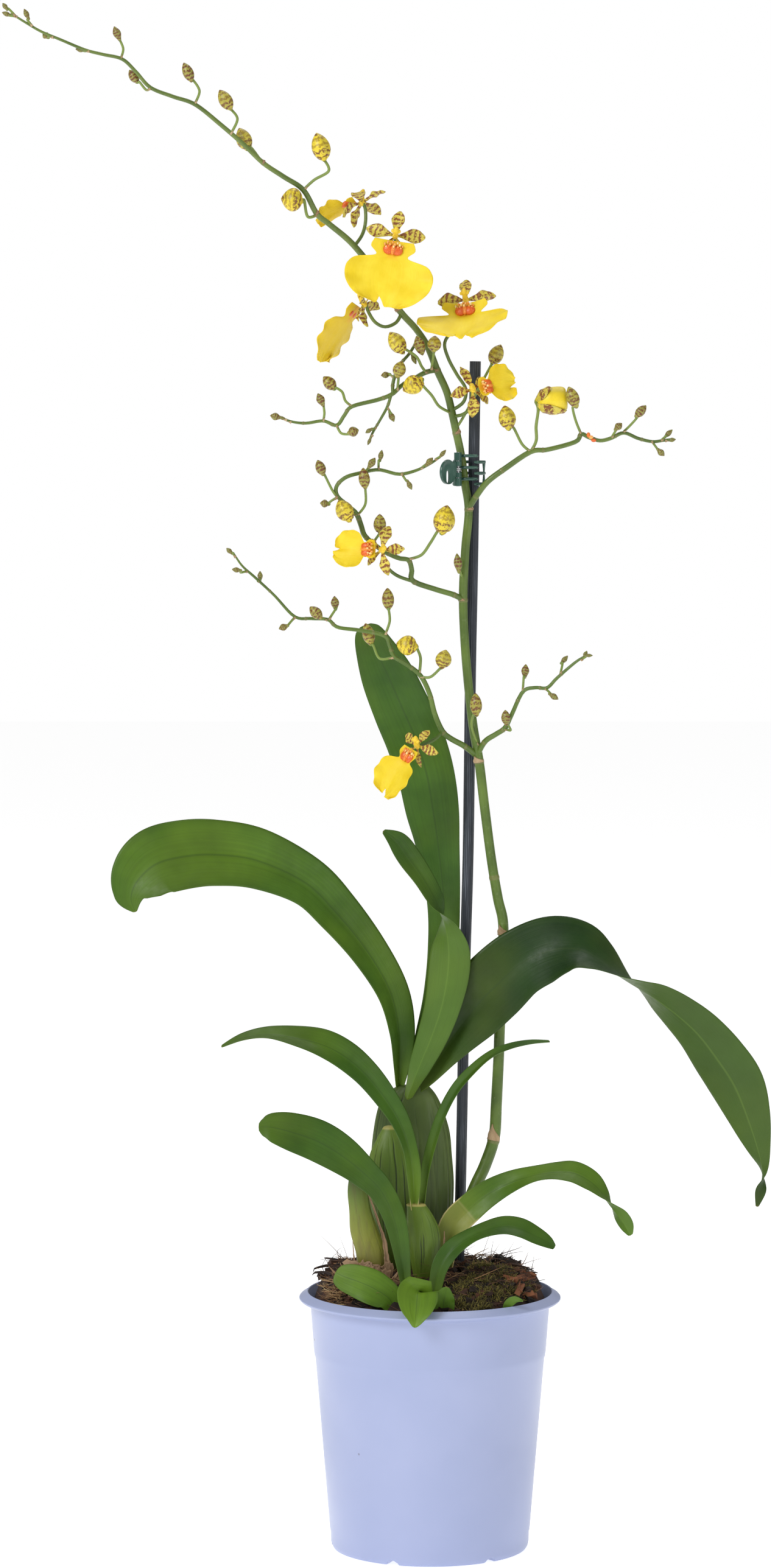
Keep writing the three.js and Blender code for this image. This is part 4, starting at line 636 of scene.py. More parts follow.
def rounded_bar(path, half_wide, half_high, count=14, power=2.6):
    """A bar of rounded oblong section along a path: |u / wide| ** p + |w / high| ** p = 1, its ends drawn
    in over the last two rings."""
    tangents = unit(np.gradient(path, axis=0))
    side = unit(np.cross(tangents, (0, 0, 1.0)))
    other = np.cross(side, tangents) * -1
    angle = circle(count)
    shape = 1 / (np.abs(np.cos(angle)) ** power + np.abs(np.sin(angle)) ** power) ** (1 / power)
    swell = np.ones(len(path))
    swell[[0, -1]], swell[[1, -2]] = 0.45, 0.86
    wide = (np.broadcast_to(half_wide, len(path)) * swell)[:, None] * shape * np.cos(angle)
    high = (np.broadcast_to(half_high, len(path)) * swell)[:, None] * shape * np.sin(angle)
    return loft(path[:, None] + wide[..., None] * side[:, None] + high[..., None] * other[:, None])


def finger(start, stop, height, outward=0.7, steps=22):
    """A finger round the clip's oval loop between two angles in degrees, at the middle of its wall."""
    angle = np.radians(np.linspace(start, stop, steps))
    x = LOOP_CENTRE[0] + (LOOP_INNER[0] + outward) * np.cos(angle)
    y = LOOP_CENTRE[1] + (LOOP_INNER[1] + outward) * np.sin(angle)
    return rounded_bar(np.stack([x, y, np.full(steps, height)], -1), FINGER, FINGER)


def upright_bar(x, y, bottom, top, half_wide, half_high, waist=1.0):
    """An upright bar, narrowed at its middle by the waist."""
    s = np.linspace(0, 1, 15)[:, None]
    narrow = 1 - (1 - waist) * np.sin(np.pi * s) ** 2
    angle = circle(16)
    z = np.linspace(bottom, top, 15)[:, None] + 0 * angle
    x, y = x + half_wide * narrow * np.cos(angle), y + half_high * narrow * np.sin(angle)
    return loft(np.stack([x, y, z], -1))


def knuckle(bottom, top):
    """A round hinge eye."""
    return upright_bar(*HINGE, bottom, top, KNUCKLE_RADIUS, KNUCKLE_RADIUS)


def thumb_pad(angle_degrees, count=72):
    """A dished round pad on edge with an upright slot: for each angle round the disc, a closed loop runs
    from the slot's edge out over the face, round the rim and back over the other face."""
    a = circle(count)
    slot_u = 0.4 + 1.05 * np.sign(np.cos(a)) * np.abs(np.cos(a)) ** 0.6
    slot_w = -2.2 + 2.8 * np.sign(np.sin(a)) * np.abs(np.sin(a)) ** 0.75
    share, thick = np.array(PAD_SECTION).T[..., None]
    share, thick = np.concatenate([share, share[::-1]]), np.concatenate([thick, -thick[::-1]])
    u = slot_u + (PAD_RADIUS * np.cos(a) - slot_u) * share
    w = slot_w + (PAD_RADIUS * np.sin(a) - slot_w) * share
    turn = math.radians(angle_degrees)
    out = PAD_REACH + u
    across = thick + 0 * u
    points = np.stack([HINGE[0] + out * math.cos(turn) - across * math.sin(turn),
                       HINGE[1] + out * math.sin(turn) + across * math.cos(turn), PAD_HEIGHT + w], -1)
    rows, i, j = len(share), np.arange(len(share))[:, None], np.arange(count)[None]
    ahead, up = (j + 1) % count, (i + 1) % rows
    corners = (i * count + j, up * count + j, up * count + ahead, i * count + ahead)
    faces = np.stack(np.broadcast_arrays(*corners), -1).reshape(-1, 4)
    return points.reshape(-1, 3), faces, mark_grid((rows * count,))


def arm(angle_degrees, start, stop, bottom, top, half=0.65):
    """A flat web on edge from the hinge towards a pad."""
    turn = math.radians(angle_degrees)
    reach = np.linspace(start, stop, 8)
    x, y = HINGE[0] + reach * math.cos(turn), HINGE[1] + reach * math.sin(turn)
    path = np.stack([x, y, np.full(8, (bottom + top) / 2)], -1)
    return rounded_bar(path, half, (top - bottom) / 2, power=5)


clip_plastic, tree = new_material("glossy green clip plastic")
coat, grain = uneven(tree, 160.0)
finish_material(tree, Base_Color=blend(tree, coat, (40, 72, 62), (58, 92, 80)),
                Roughness=between(tree, coat, 0, 1, 0.16, 0.26), Normal=raised(tree, grain, 0.1))
steel, tree = new_material("bright steel wire")
coat, grain = uneven(tree, 400.0)
finish_material(tree, Base_Color=blend(tree, coat, (176, 178, 180), (206, 207, 208)), Metallic=1.0,
                Roughness=grained(tree, grain, 0.22, 0.4))

front = [finger(-131, -55, height) for height in FRONT_LEVELS]
front += [upright_bar(13.3, 4.4, 490.4, 502.3, 0.75, 1.25, 0.8), thumb_pad(FRONT_PAD)]
front += [arm(FRONT_PAD, 1.2, 4.2, 491.9, 499.1), knuckle(491.8, 494), knuckle(497, 499.2)]
make_piece("front_jaw_moulded", front, clip_plastic, "clip_plastic", "clip_front_jaw", body="clip_front",
           crease=45)
back = [finger(-146, -432, height, steps=60) for height in BACK_LEVELS]
back += [upright_bar(11.1, 6.6, 488, 499.4, 0.7, 1.8), upright_bar(24.4, 8.6, 488, 499.4, 0.75, 1.1, 0.55)]
back += [thumb_pad(BACK_PAD), knuckle(487.95, 491.5), knuckle(499.5, 503.1)]
back += [arm(BACK_PAD, start, 4.4, bottom, top)
         for start, bottom, top in ((1.2, 488.2, 491.3), (1.2, 499.7, 502.8), (2.1, 488.2, 502.8))]
make_piece("back_jaw_moulded", back, clip_plastic, "clip_plastic", "clip_back_jaw", crease=45)

pin = tube([(*HINGE, height, PIN_RADIUS) for height in (CLIP_BOTTOM, 495, CLIP_TOP)], 20, 6)
make_piece("clip_hinge_pin", [pin], steel, "clip_steel", "clip_pin", crease=50)
turns = np.linspace(0, SPRING_TURNS, SPRING_STEPS)
x, y = at_angle(SPRING_RADIUS, 2 * np.pi * turns)
x, y = HINGE[0] + x, HINGE[1] + y
coil = np.stack([x, y, SPRING_FOOT + SPRING_HEIGHT * turns / SPRING_TURNS], -1)
outward = unit(coil - np.array([*HINGE, 0]) - coil * (0, 0, 1))
upward = np.cross(unit(np.gradient(coil, axis=0)), outward)
spring = loft(ringed(coil, outward, upward, circle(10), WIRE_RADIUS))
make_piece("spring_coil", [spring], steel, "clip_steel", "clip_spring")

# ---- The pseudobulbs ----
# The swollen, flattened water stores that the leaves grow from: olive green and wrinkled lengthwise into
# grooves darkened with painted shade, with yellower feet that stand in the bark, and dry papery scales round
# those in front.

# Each one's grooves, tone, and ovals from its foot up: (x, y, z, half width, half depth).
BULBS = {
    "pseudobulb_back": (46, 0.0, [
        (-9, 9, 121, 8, 5), (-8.5, 9, 130, 13, 7), (-8, 9, 146, 17.5, 8.5), (-8, 9, 165, 19, 9),
        (-8.5, 9, 180, 18.6, 8.5), (-8.5, 9, 192, 17.4, 7.6), (-9, 9, 203, 14.5, 6.2),
        (-8.5, 9, 209, 11, 5), (-7.5, 9, 213, 6.5, 3.4)]),
    "pseudobulb_left": (34, 0.6, [
        (-13, -8, 119, 6, 4), (-13.5, -8, 131, 9, 5.2), (-15, -8, 146, 11, 6), (-16.5, -8, 165, 11.8, 6),
        (-17, -8, 181, 11, 5.6), (-17.5, -8, 190, 7, 4), (-18.5, -8, 196.5, 2.4, 1.6)]),
    "pseudobulb_front": (24, 0.8, [
        (-4, -22, 119, 2.6, 2.4), (-4, -22, 127, 3.4, 3), (-3, -22, 135, 5.8, 4.6),
        (-2.8, -22, 143.5, 7.4, 5.5), (-3.5, -22, 151, 7.5, 5.4), (-5, -22, 158, 5.8, 4.2),
        (-6.8, -22, 163, 4.1, 3)]),
}
# The sheathed growth at the left, which has no bulb yet.
SHEATH = [
    (-27.2, -24, 119, 4.9, 3.5), (-26.8, -24, 131, 6.5, 4.1), (-27, -24, 140, 6.9, 4.1),
    (-29.9, -24, 150, 6.5, 3.5), (-31.9, -24.5, 160, 5, 2.6), (-32.9, -25, 168.5, 4.7, 1.9),
    (-33.2, -25.5, 176, 3.6, 1.2)
]


def grooved(rows, grooves, seed, depth, tone, sides=200, steps=90):
    """Ovals stacked along the rows, cut by wandering lengthwise grooves: each lies at its own angle
    a0 + wander(s) and takes depth * exp(-(da / width) ** 2) off the radius, about one in three the whole
    depth and the rest 0.55 of it. The crown is rounded over. The grooves' mask is the third mark."""
    draw = np.random.default_rng(seed)
    s = np.linspace(0, 1, steps + 1)[:, None]
    x, y, z, wide, deep = (spline(rows, s[:, 0])[:, k, None] for k in range(5))
    angle = circle(sides)[None]
    mask = np.zeros((steps + 1, sides))
    starts = (np.arange(grooves) + draw.uniform(-0.35, 0.35, grooves)) * 2 * np.pi / grooves
    wanders, widths = draw.uniform(-0.14, 0.14, grooves), draw.uniform(0.018, 0.05, grooves)
    lows, highs = draw.uniform(0, 0.4, grooves), draw.uniform(0.6, 1.0, grooves)
    for start, wander, width, low, high in zip(starts, wanders, widths, lows, highs):
        centre = start + wander * np.sin(np.pi * s)
        centre = centre + 0.025 * np.sin(11 * s + 7 * start) + 0.012 * np.sin(31 * s + 3 * start)
        away = (angle - centre + np.pi) % (2 * np.pi) - np.pi
        reach = np.clip((s - low) * 6, 0, 1) * np.clip((high - s) * 6, 0, 1)
        share = 1.0 if (int(start * 50) % 3 == 0) else 0.55
        mask = np.maximum(mask, share * reach * np.exp(-(away / width) ** 2))
    factor = 1 - depth * mask + 0.008 * np.sin(3 * angle + 5 * s) + 0.004 * np.sin(13 * angle + 4 * s)
    factor = factor * np.sqrt(1 - 0.9 * np.clip((s - 0.965) / 0.035, 0, 1) ** 2)
    x, y = x + wide * factor * np.cos(angle), y + deep * factor * np.sin(angle)
    return loft(np.stack([x, y, z + 0 * angle], -1), s, 0, mask, tone)


bulb_skin, tree = new_material("wrinkled pseudobulb skin")
along, _, groove, tone = run_marks(tree)
wash, grain = uneven(tree, 55.0, (1, 1, 0.25))
scar = times(tree, between(tree, along, 0.93, 0.955), between(tree, tone, 0.3, 0.7))
skin = painted(
    tree, blend(tree, wash, (62, 80, 33), (91, 108, 53)),
    (tone, blend(tree, wash, (62, 92, 18), (98, 122, 34))),  # young bulbs are brighter
    (between(tree, along, 0.0, 0.35, 0.3, 0), (124, 132, 54)),  # yellower feet
    (between(tree, grain, 0.5, 0.72, 0, 0.35), (66, 82, 34)),  # fine dark grain
    # Painted shade: the grooves darkened almost to black-green.
    (between(tree, groove, 0.25, 0.95, 0, 0.88), (26, 38, 12)),  # the grooves
    (times(tree, scar, 0.75), (172, 158, 92)))  # a leaf's pale scar at the top
finish_material(tree, Base_Color=skin, Roughness=grained(tree, grain, 0.36, 0.5), Specular_IOR_Level=0.3,
                Normal=raised(tree, grain, 0.35, 0.0004))
for seed, (name, (grooves, tone_value, rows)) in enumerate(BULBS.items(), 3):
    bulb = grooved(rows, grooves, seed, 0.05, tone_value)
    make_piece(name + "_grown", [bulb], bulb_skin, "pseudobulb", name)

sheath_skin, tree = new_material("yellow-green sheath")
along, _, groove, _ = run_marks(tree)
wash, grain = uneven(tree, 70.0, (1, 1, 0.2))
ground = ramp(tree, along, (0.0, 92, 68, 38), (0.16, 112, 104, 40), (0.45, 124, 128, 40),
              (0.75, 98, 116, 34), (1.0, 56, 84, 22))
skin = painted(
    tree, ground,
    (between(tree, grain, 0.45, 0.7, 0, 0.4), (96, 84, 42)),  # fine brown grain
    (between(tree, groove, 0.3, 1, 0, 0.4), (104, 112, 50)))  # its shallow folds
finish_material(tree, Base_Color=skin, Roughness=0.5, Normal=raised(tree, grain, 0.3, 0.0004))
sheath = grooved(SHEATH, 16, 12, 0.02, 0.5, 150, 66)
make_piece("sheath_left_grown", [sheath], sheath_skin, "dry_sheath", "sheath_left")

# ---- The leaves ----
# Strap leaves, thick as card and satin green, keeled along a midrib that is a groove on the upper face.
# Each is folded where it leaves its pseudobulb and opens as it arches over, with fine veins along it.

# Each one's fold at its base and when open, tone (its own green, and painted shade on the leaves that stand
# in shade, such as leaf_arching_right and leaf_low_right), share that is sheath, and rows from its base to
# its tip: (x, y, z, half width, roll).
LEAVES = {
    "leaf_arching_left": (62, 12, 0.41, 0.0, [
        (-14, 10, 210, 2.6, 0), (-14, 8, 222, 5.2, 20), (-14.6, 6, 238.6, 8, 35),
        (-18.6, 4, 256.8, 9.4, 38), (-29.3, 1, 276, 10.6, 36), (-43.4, -3, 294, 12.1, 34),
        (-57.2, -7, 307.8, 13, 33), (-79, -12, 318.2, 15.2, 30), (-98, -16.5, 321.2, 16.5, 28),
        (-112, -20, 320.6, 17.3, 26), (-124, -22.5, 317.5, 17, 23), (-132, -24.5, 310.5, 13.8, 18),
        (-135.2, -25.5, 303, 8, 14), (-133.4, -26, 296.2, 0.8, 10)]),
    "leaf_upright_back": (50, 8, 0.33, 0.0, [
        (-8, 12.5, 210, 2.3, -15), (-4, 13.5, 230, 4, -15), (2.5, 14, 252.5, 5.8, -15),
        (6.2, 14, 275, 7.2, -15), (6.5, 14, 297, 7.9, -15), (4, 13, 322, 10.4, -15),
        (1.5, 12, 339, 12.8, -15), (-1.5, 12, 356, 13.6, -15), (-6.5, 12, 372, 14, -15),
        (-12.5, 11, 386, 13.8, -15), (-19.5, 10, 402, 12.6, -15), (-25.5, 9, 415, 9.2, -15),
        (-28.5, 9, 422, 6.2, -15), (-29.5, 9, 424.5, 2.5, -15)]),
    "leaf_upright_front": (40, 10, 0.3, 0.0, [
        (-10.5, 3.5, 207, 2.2, 170), (-7.5, -1, 216, 4, 170), (-4.5, -3, 224, 5.6, 168),
        (1, -4, 237.5, 7.4, 168), (5.5, -5, 251.5, 8.6, 168), (8, -5.5, 265.5, 9.8, 165),
        (8.5, -5.5, 277, 9.6, 155), (7, -5.5, 288, 7.4, 120), (2.5, -5.5, 298.5, 6.2, 60),
        (-3.5, -6, 309.5, 6, 42), (-10, -7, 319, 6.4, 35), (-15.2, -8, 326.5, 5.2, 30),
        (-21.5, -9, 331.5, 1, 30)]),
    # Tone 0, the darkest green: painted shade on a leaf that turns away from the light.
    "leaf_arching_right": (45, 10, 0.0, 0.0, [
        (-9.5, 8.5, 208, 2.2, 0), (-1.5, 5.5, 218, 6, -5), (8, 3.5, 232.6, 11, -10),
        (19, 0, 248, 16, -12), (29.5, -4.5, 259.6, 17, -15), (41.5, -8, 270.6, 16.4, -22),
        (55, -11, 277, 16.2, -30), (67, -14, 277.8, 15, -45), (76, -16, 273.6, 13.6, -62),
        (86, -18, 266.2, 12, -84), (95, -19, 260.6, 10.5, -105), (103, -20, 255.6, 11, -125),
        (112.5, -21, 248.4, 11.6, -140), (121.5, -22, 240, 12.9, -147), (130, -23, 229, 14.4, -150),
        (137.8, -24, 217, 14.6, -150), (143.8, -25, 202.5, 11.2, -150), (148.7, -26, 187.5, 5.8, -150),
        (150.8, -26, 178, 3.2, -110), (149.5, -27, 169.5, 3, -30), (148, -27, 162, 0.8, -30)]),
    "leaf_mid_left": (60, 14, 0.34, 0.02, [
        (-7.5, -23, 160, 2.8, 5), (-7.8, -23, 174.5, 4.1, 10), (-10, -23, 188.3, 4.2, 30),
        (-14.6, -23, 201, 5.4, 35), (-21.7, -24, 212.3, 6.3, 35), (-29.7, -25, 222.2, 7.2, 38),
        (-38.6, -26, 230, 8.2, 40), (-48.3, -27, 235.4, 8.5, 45), (-60, -28, 238.5, 8, 60),
        (-73.5, -29, 240.6, 6.3, 72), (-84.5, -30, 239.2, 4.5, 74), (-94.5, -31, 235.5, 1, 70)]),
    "leaf_thin_right": (40, 24, 0.36, 0.0, [
        (-3, -20, 160, 1.8, -50), (-1.4, -17, 175, 3.2, -52), (1.6, -16, 188.5, 4, -55),
        (6.2, -15, 202, 4.2, -58), (12.6, -13, 213.6, 4.2, -62), (21, -12, 222.8, 4.1, -65),
        (28.8, -11, 229, 3.8, -68), (37, -10, 232.4, 3.2, -70), (46, -9, 234.3, 2.4, -72),
        (54.5, -8, 235, 0.9, -70)]),
    "leaf_low_left": (60, 10, 0.27, 0.0, [
        (-11, -35.5, 122, 2.8, 5), (-12.4, -36.5, 136, 3.8, 8), (-16.2, -38, 156.6, 5.4, 20),
        (-22.1, -38, 170.2, 6, 24), (-30, -39, 178.8, 7.2, 25), (-40.4, -39, 187.2, 9.1, 25),
        (-51.2, -40, 193.8, 9.8, 22), (-62.5, -41, 198, 9, 20), (-71, -42, 200.3, 7, 18),
        (-75.5, -42, 200.5, 4.1, 15), (-77.5, -42, 200.5, 1.5, 15)]),
    "leaf_sheathed_right": (38, 14, 0.42, 0.2, [
        (8, -10, 121, 4.5, -45), (8, -10.5, 138, 6.3, -28), (11, -10.5, 150.8, 7.2, -10),
        (18.6, -10, 158.8, 6.9, -15), (27, -10, 165.3, 6.4, -22), (37, -11, 170.4, 6, -40),
        (48, -13, 174, 6.1, -60), (57.6, -15, 175.6, 6.8, -62), (65.4, -17, 175.4, 6.8, -52),
        (73, -19, 171.6, 6.3, -50), (78.4, -20, 166.2, 5, -65), (82.2, -20.5, 161.3, 4.4, -100),
        (86, -21, 156.5, 4.7, -135), (89, -21.5, 152, 4, -145), (91, -22, 148, 1.2, -150)]),
    "leaf_low_right": (45, 14, 0.26, 0.0, [
        (1.5, -33, 120, 3.2, 0), (4, -33, 134.3, 4.2, -10), (9.8, -32, 142.8, 4.9, -35),
        (17.7, -31, 148.2, 5.2, -55), (25.5, -31, 151.6, 5.5, -60), (33.3, -32, 153.5, 5.9, -55),
        (40.6, -33, 152.6, 5.9, -48), (47.6, -34, 149.4, 4.9, -45), (53, -35, 146.7, 3.2, -40),
        (56, -35, 144.5, 1.2, -40)]),
    "leaf_front_left": (20, 8, 0.63, 0.0, [
        (-16.6, -42.4, 115.4, 3.6, 30), (-18.6, -41.8, 122, 6.6, 28), (-25.6, -40.6, 126.8, 8.2, 22),
        (-33, -38.8, 129.8, 7.5, 18), (-39, -37, 131.6, 6.2, 16), (-43, -35.5, 133.2, 3.6, 16)]),
    "leaf_front_tip": (66, 26, 0.72, 0.0, [
        (-5, -39, 118, 3, 0), (-5.5, -43, 125.6, 6.2, 0), (-6, -49.5, 126, 9.4, 0),
        (-6.4, -56, 122.6, 10.2, 0), (-6.8, -61, 118.8, 8, 0), (-7.1, -63.5, 115.8, 4, 0),
        (-7.5, -64.5, 113.4, 0.8, 0)]),
    "leaf_young": (20, 10, 0.55, 0.0, [
        (5.6, -46.5, 112, 4.2, 0), (5.6, -47, 120, 5.1, 5), (6.2, -48, 125, 4.4, 5),
        (7.2, -49, 129, 1.3, 5)]),
}
LEAFLET = [(33.5, -40.5, 115.5), (35, -42, 119.5), (38, -43.5, 121.8), (41.5, -44.5, 121.6)]


def sheet_grid(rows, columns):
    """The two parameters of a sheet: s from 0 to 1 along it and v from -1 to 1 across it."""
    return np.meshgrid(np.linspace(0, 1, rows), np.linspace(-1, 1, columns), indexing="ij")


def run_length(path):
    """The length of a path of points."""
    return np.linalg.norm(np.diff(np.array(path)[:, :3], axis=0), axis=1).sum()


def sheet(points, thickness, *marks):
    """A closed thin body over a grid of points (n, m, 3): the grid a half thickness to each side along its
    normals, joined round the edge. The third mark is 1 on the first face and -1 on the other."""
    rows, columns = points.shape[:2]
    normals = unit(np.cross(np.gradient(points, axis=0), np.gradient(points, axis=1)))
    half = normals * (np.asarray(thickness)[..., None] / 2 * np.ones((rows, columns, 1)))
    both = np.concatenate([(points + half).reshape(-1, 3), (points - half).reshape(-1, 3)])
    size = rows * columns
    grid = np.arange(size).reshape(rows, columns)
    a, b, c, d = grid[:-1, :-1].ravel(), grid[1:, :-1].ravel(), grid[1:, 1:].ravel(), grid[:-1, 1:].ravel()
    edge = np.concatenate([grid[:-1, 0], grid[-1, :-1], grid[:0:-1, -1], grid[0, :0:-1]])
    ahead = np.roll(edge, -1)
    faces = np.concatenate([np.stack([a, b, c, d], -1), np.stack([d, c, b, a], -1) + size,
                            np.stack([edge + size, ahead + size, ahead, edge], -1)])
    upper, lower = (mark_grid((rows, columns), *marks).reshape(-1, 4) for _ in range(2))
    upper[:, 2], lower[:, 2] = 1, -1
    return both, faces, np.concatenate([upper, lower])


def leaf_points(base_fold, open_fold, rows, s, v, ripple, phase):
    """Points of a blade: across the midrib, side * w v cos(fold) + face * w sin(fold) (sqrt(v v + 0.01) -
    0.1), where fold eases from its base value to its open one, and the margin ripples a little. The end is
    rounded over a length of its own half width."""
    found = spline(rows, s)
    path, wide, roll = found[:, :3], found[:, 3], np.radians(found[:, 4])
    blunt = max(rows[-1][3], 1.0) / run_length(path)
    wide = wide * np.sqrt(1 - 0.98 * np.clip((s - 1 + blunt) / blunt, 0, 1) ** 2)
    tangents = unit(np.gradient(path, axis=0))
    level = unit(np.cross(tangents, (0, 1.0, 0)))
    front = np.cross(tangents, level)
    side = level * np.cos(roll)[:, None] + front * np.sin(roll)[:, None]
    face = np.cross(tangents, side)
    fold = np.radians(open_fold + (base_fold - open_fold) * np.maximum(0, 1 - s / 0.35) ** 2)[:, None]
    s, wide = s[:, None], wide[:, None]
    lift = wide * np.sin(fold) * (np.sqrt(v * v + 0.01) - 0.1)
    lift = lift + (ripple * wide * np.abs(v) ** 3 * np.sin(17 * s + phase + 1.4 * np.sign(v))
                   * np.sin(np.pi * s))
    reach = wide * v * np.cos(fold)
    return path[:, None] + reach[..., None] * side[:, None] + lift[..., None] * face[:, None]


# Parallel veins: noise drawn out along the piece into uneven streaks, so many across and so many along.
veins, given, kept = socket_group("parallel veins", {"Across": 16.0, "Along": 3.0}, "Mask")
along, across, _, tone = run_marks(veins)
drawn = {0: times(veins, across, given["Across"]), 1: times(veins, along, given["Along"]),
         2: times(veins, tone, 9.0)}
streak = noise(veins, wire(veins, "ShaderNodeCombineXYZ", drawn).outputs[0], 1.0, 2.0)
veins.links.new(between(veins, streak, 0.4, 0.66), kept["Mask"])


def streaks(tree, across, along):
    """The mask of the parallel veins, so many across and along."""
    return wire(tree, "ShaderNodeGroup", {"Across": across, "Along": along}, node_tree=veins).outputs["Mask"]


leaf_skin, tree = new_material("satin strap leaf")
along, across, face, tone = run_marks(tree)
wash, grain = uneven(tree, 38.0)
patch = uneven(tree, 13.0)[0]
lines = streaks(tree, 15.0, 2.5)
away = work(tree, "ABSOLUTE", across)
midrib = between(tree, away, 0.012, 0.05, 1, 0)
# Each leaf's greens follow its tone, which holds painted shade for the leaves that stand in shade.
dark = ramp(tree, tone, (0.0, 14, 40, 8), (0.35, 42, 76, 16), (0.7, 80, 112, 24), (1.0, 112, 142, 34))
light = ramp(tree, tone, (0.0, 30, 60, 12), (0.35, 68, 104, 26), (0.7, 102, 136, 34), (1.0, 134, 164, 50))
sheath_green = blend(tree, wash, (104, 118, 44), (136, 142, 64))
paper_edge = times(tree, between(tree, away, 0.9, 0.96), between(tree, along, 0.25, 0.27, 0.8, 0))
joint_line = times(tree, between(tree, along, 0.243, 0.248), between(tree, along, 0.249, 0.254, 1, 0))
green = painted(
    tree, blend(tree, wash, dark, light),
    (times(tree, lines, 0.16), (38, 58, 16)),  # dark veins
    (between(tree, patch, 0.35, 0.9, 0, 0.15), (128, 146, 30)),  # yellower patches
    # Painted shade: the blade darkened towards its margins.
    (between(tree, away, 0.7, 1, 0, 0.25), (44, 70, 14)),  # darker margins
    (between(tree, face, -1, 1, 0.3, 0), (100, 128, 54)),  # the paler underside
    (times(tree, midrib, times(tree, face, -0.18)), (118, 148, 62)),  # the keel below
    # Painted shade: the midrib's groove on the upper face darkened.
    (times(tree, midrib, between(tree, face, -1, 1, 0, 0.4)), (40, 62, 20)),  # the groove above
    (between(tree, along, 0.24, 0.36, 0.45, 0), (116, 140, 46)),  # the pale neck of the blade
    (between(tree, along, 0.235, 0.26, 1, 0), sheath_green),
    (work(tree, "MAXIMUM", paper_edge, times(tree, joint_line, 0.15)), (196, 180, 124)),
    (between(tree, along, 0.99, 1.0, 0, 0.35), (128, 112, 50)))  # the browned tip
relief = work(tree, "ADD", times(tree, lines, 0.5), times(tree, grain, 0.35))
finish_material(tree, Base_Color=green, Roughness=grained(tree, grain, 0.4, 0.54), Specular_IOR_Level=0.25,
                Normal=raised(tree, relief, 0.14, 0.0003))
v = np.linspace(-1, 1, 25)[None]
for index, (name, (base_fold, open_fold, tone_value, joint, rows)) in enumerate(LEAVES.items()):
    even = np.linspace(0, 1, int(np.clip(run_length(rows) / 1.5, 40, 180)) + 1)
    s = 0.6 * even + 0.4 * np.sin(even * np.pi / 2)
    points = leaf_points(base_fold, open_fold, rows, s, v, 0.035, 2.1 * index)
    s = s[:, None]
    along = np.where(s < joint, 0.25 * s / max(joint, 1e-6), 0.25 + 0.75 * (s - joint) / (1 - joint))
    thickness = 0.62 * (1 - 0.6 * np.abs(v) ** 3) + 0.25 * np.exp(-(v / 0.08) ** 2) + 0 * s
    blade = sheet(points, thickness, along, v, 0, tone_value)
    make_piece(name + "_grown", [blade], leaf_skin, "leaf", name)

# A tiny leaflet that has come up by itself at the heap's front edge, right of the middle.
s, v = sheet_grid(21, 13)
path = spline(LEAFLET, s)
half = 2.0 * np.sin(np.pi * np.clip(0.16 + 0.84 * s, 0, 0.985))
across = unit(np.cross(unit(np.gradient(path, axis=0)), (0.25, -1, 0.35)))
leaflet = path + across * (half * v)[..., None] + np.array([0, -0.4, 0.6]) * (v * v)[..., None]
stray = sheet(leaflet, np.full(s.shape, 0.3), 0.3 + 0.7 * s, v, 1, 0.55)
make_piece("stray_leaflet", [stray], leaf_skin, "leaf")

# ---- The flower stem and its sprays ----
# One tall green cane that rises from the bark beside the bulbs, with a papery scale at most of its joints,
# and zigzag side branches with buds, pointed and barred with brown, on fine stalks of their own.

# The cane from the bark to its tip: (x, y, z, radius).
STEM = [
    (6, -2, 120, 2.4), (9, -1, 139, 2.6), (13, 0, 150, 2.7), (17.5, 1, 159.5, 2.8),
    (21.5, 2, 168.5, 2.8), (25.5, 3, 177, 2.8), (29.5, 4, 189.5, 2.7), (30.5, 4.5, 205.5, 2.6),
    (31.5, 5, 226, 2.5), (32, 5, 242, 2.5), (33, 5, 264.5, 2.4), (33.5, 5, 287, 2.4),
    (31, 5.5, 299.5, 2.3), (28, 6, 317.5, 2.2), (25, 6.5, 340.5, 2.2), (22.5, 6.5, 361, 2.2),
    (19.5, 6.5, 379, 2.1), (17, 6.5, 401.5, 2.05), (15.5, 6.5, 421, 2), (15, 6.5, 439, 2),
    (16, 7, 459.5, 1.95), (17.5, 8, 476.5, 1.9), (15.8, 8.7, 489, 1.85), (14.2, 8.9, 501, 1.8),
    (12, 8.5, 511.5, 1.8), (10, 8, 520.5, 1.75), (7.5, 7.5, 530.5, 1.7), (3, 6.5, 540.5, 1.65),
    (-1, 6, 550.5, 1.6), (-6.5, 5, 559, 1.5), (-14.5, 4, 568, 1.5), (-23.5, 3, 582.5, 1.45),
    (-35, 1, 597, 1.4), (-45.5, 0, 606, 1.3), (-51.5, -1, 611, 1.3), (-57.5, -3, 621.5, 1.2),
    (-66.5, -4, 627.5, 1.15), (-75.5, -5, 633.5, 1.1), (-84, -6, 641.5, 1.05), (-94.5, -8, 650.5, 1),
    (-106, -9, 659.5, 0.95), (-116, -10, 663, 0.9), (-126, -11, 667, 0.85), (-132.5, -12, 674, 0.8),
    (-138.5, -13, 679.5, 0.8), (-147, -14, 681.5, 0.75), (-155, -15, 683.5, 0.7), (-166, -16, 688, 0.65),
    (-174.5, -17, 691.5, 0.6), (-181.5, -18, 695.5, 0.55), (-188, -19, 699.5, 0.45)
]
CANE_JOINTS = [
    (17.5, 1, 159.5), (29.6, 4, 187.5), (33.4, 5, 283), (29.4, 6, 309), (21.2, 6.5, 362), (15, 6.5, 436),
    (17.3, 8, 477), (12, 8.5, 512), (3, 6.5, 540.5), (-14.5, 4, 568), (-51.5, -1, 611),
    (-75.5, -5, 633.5)
]
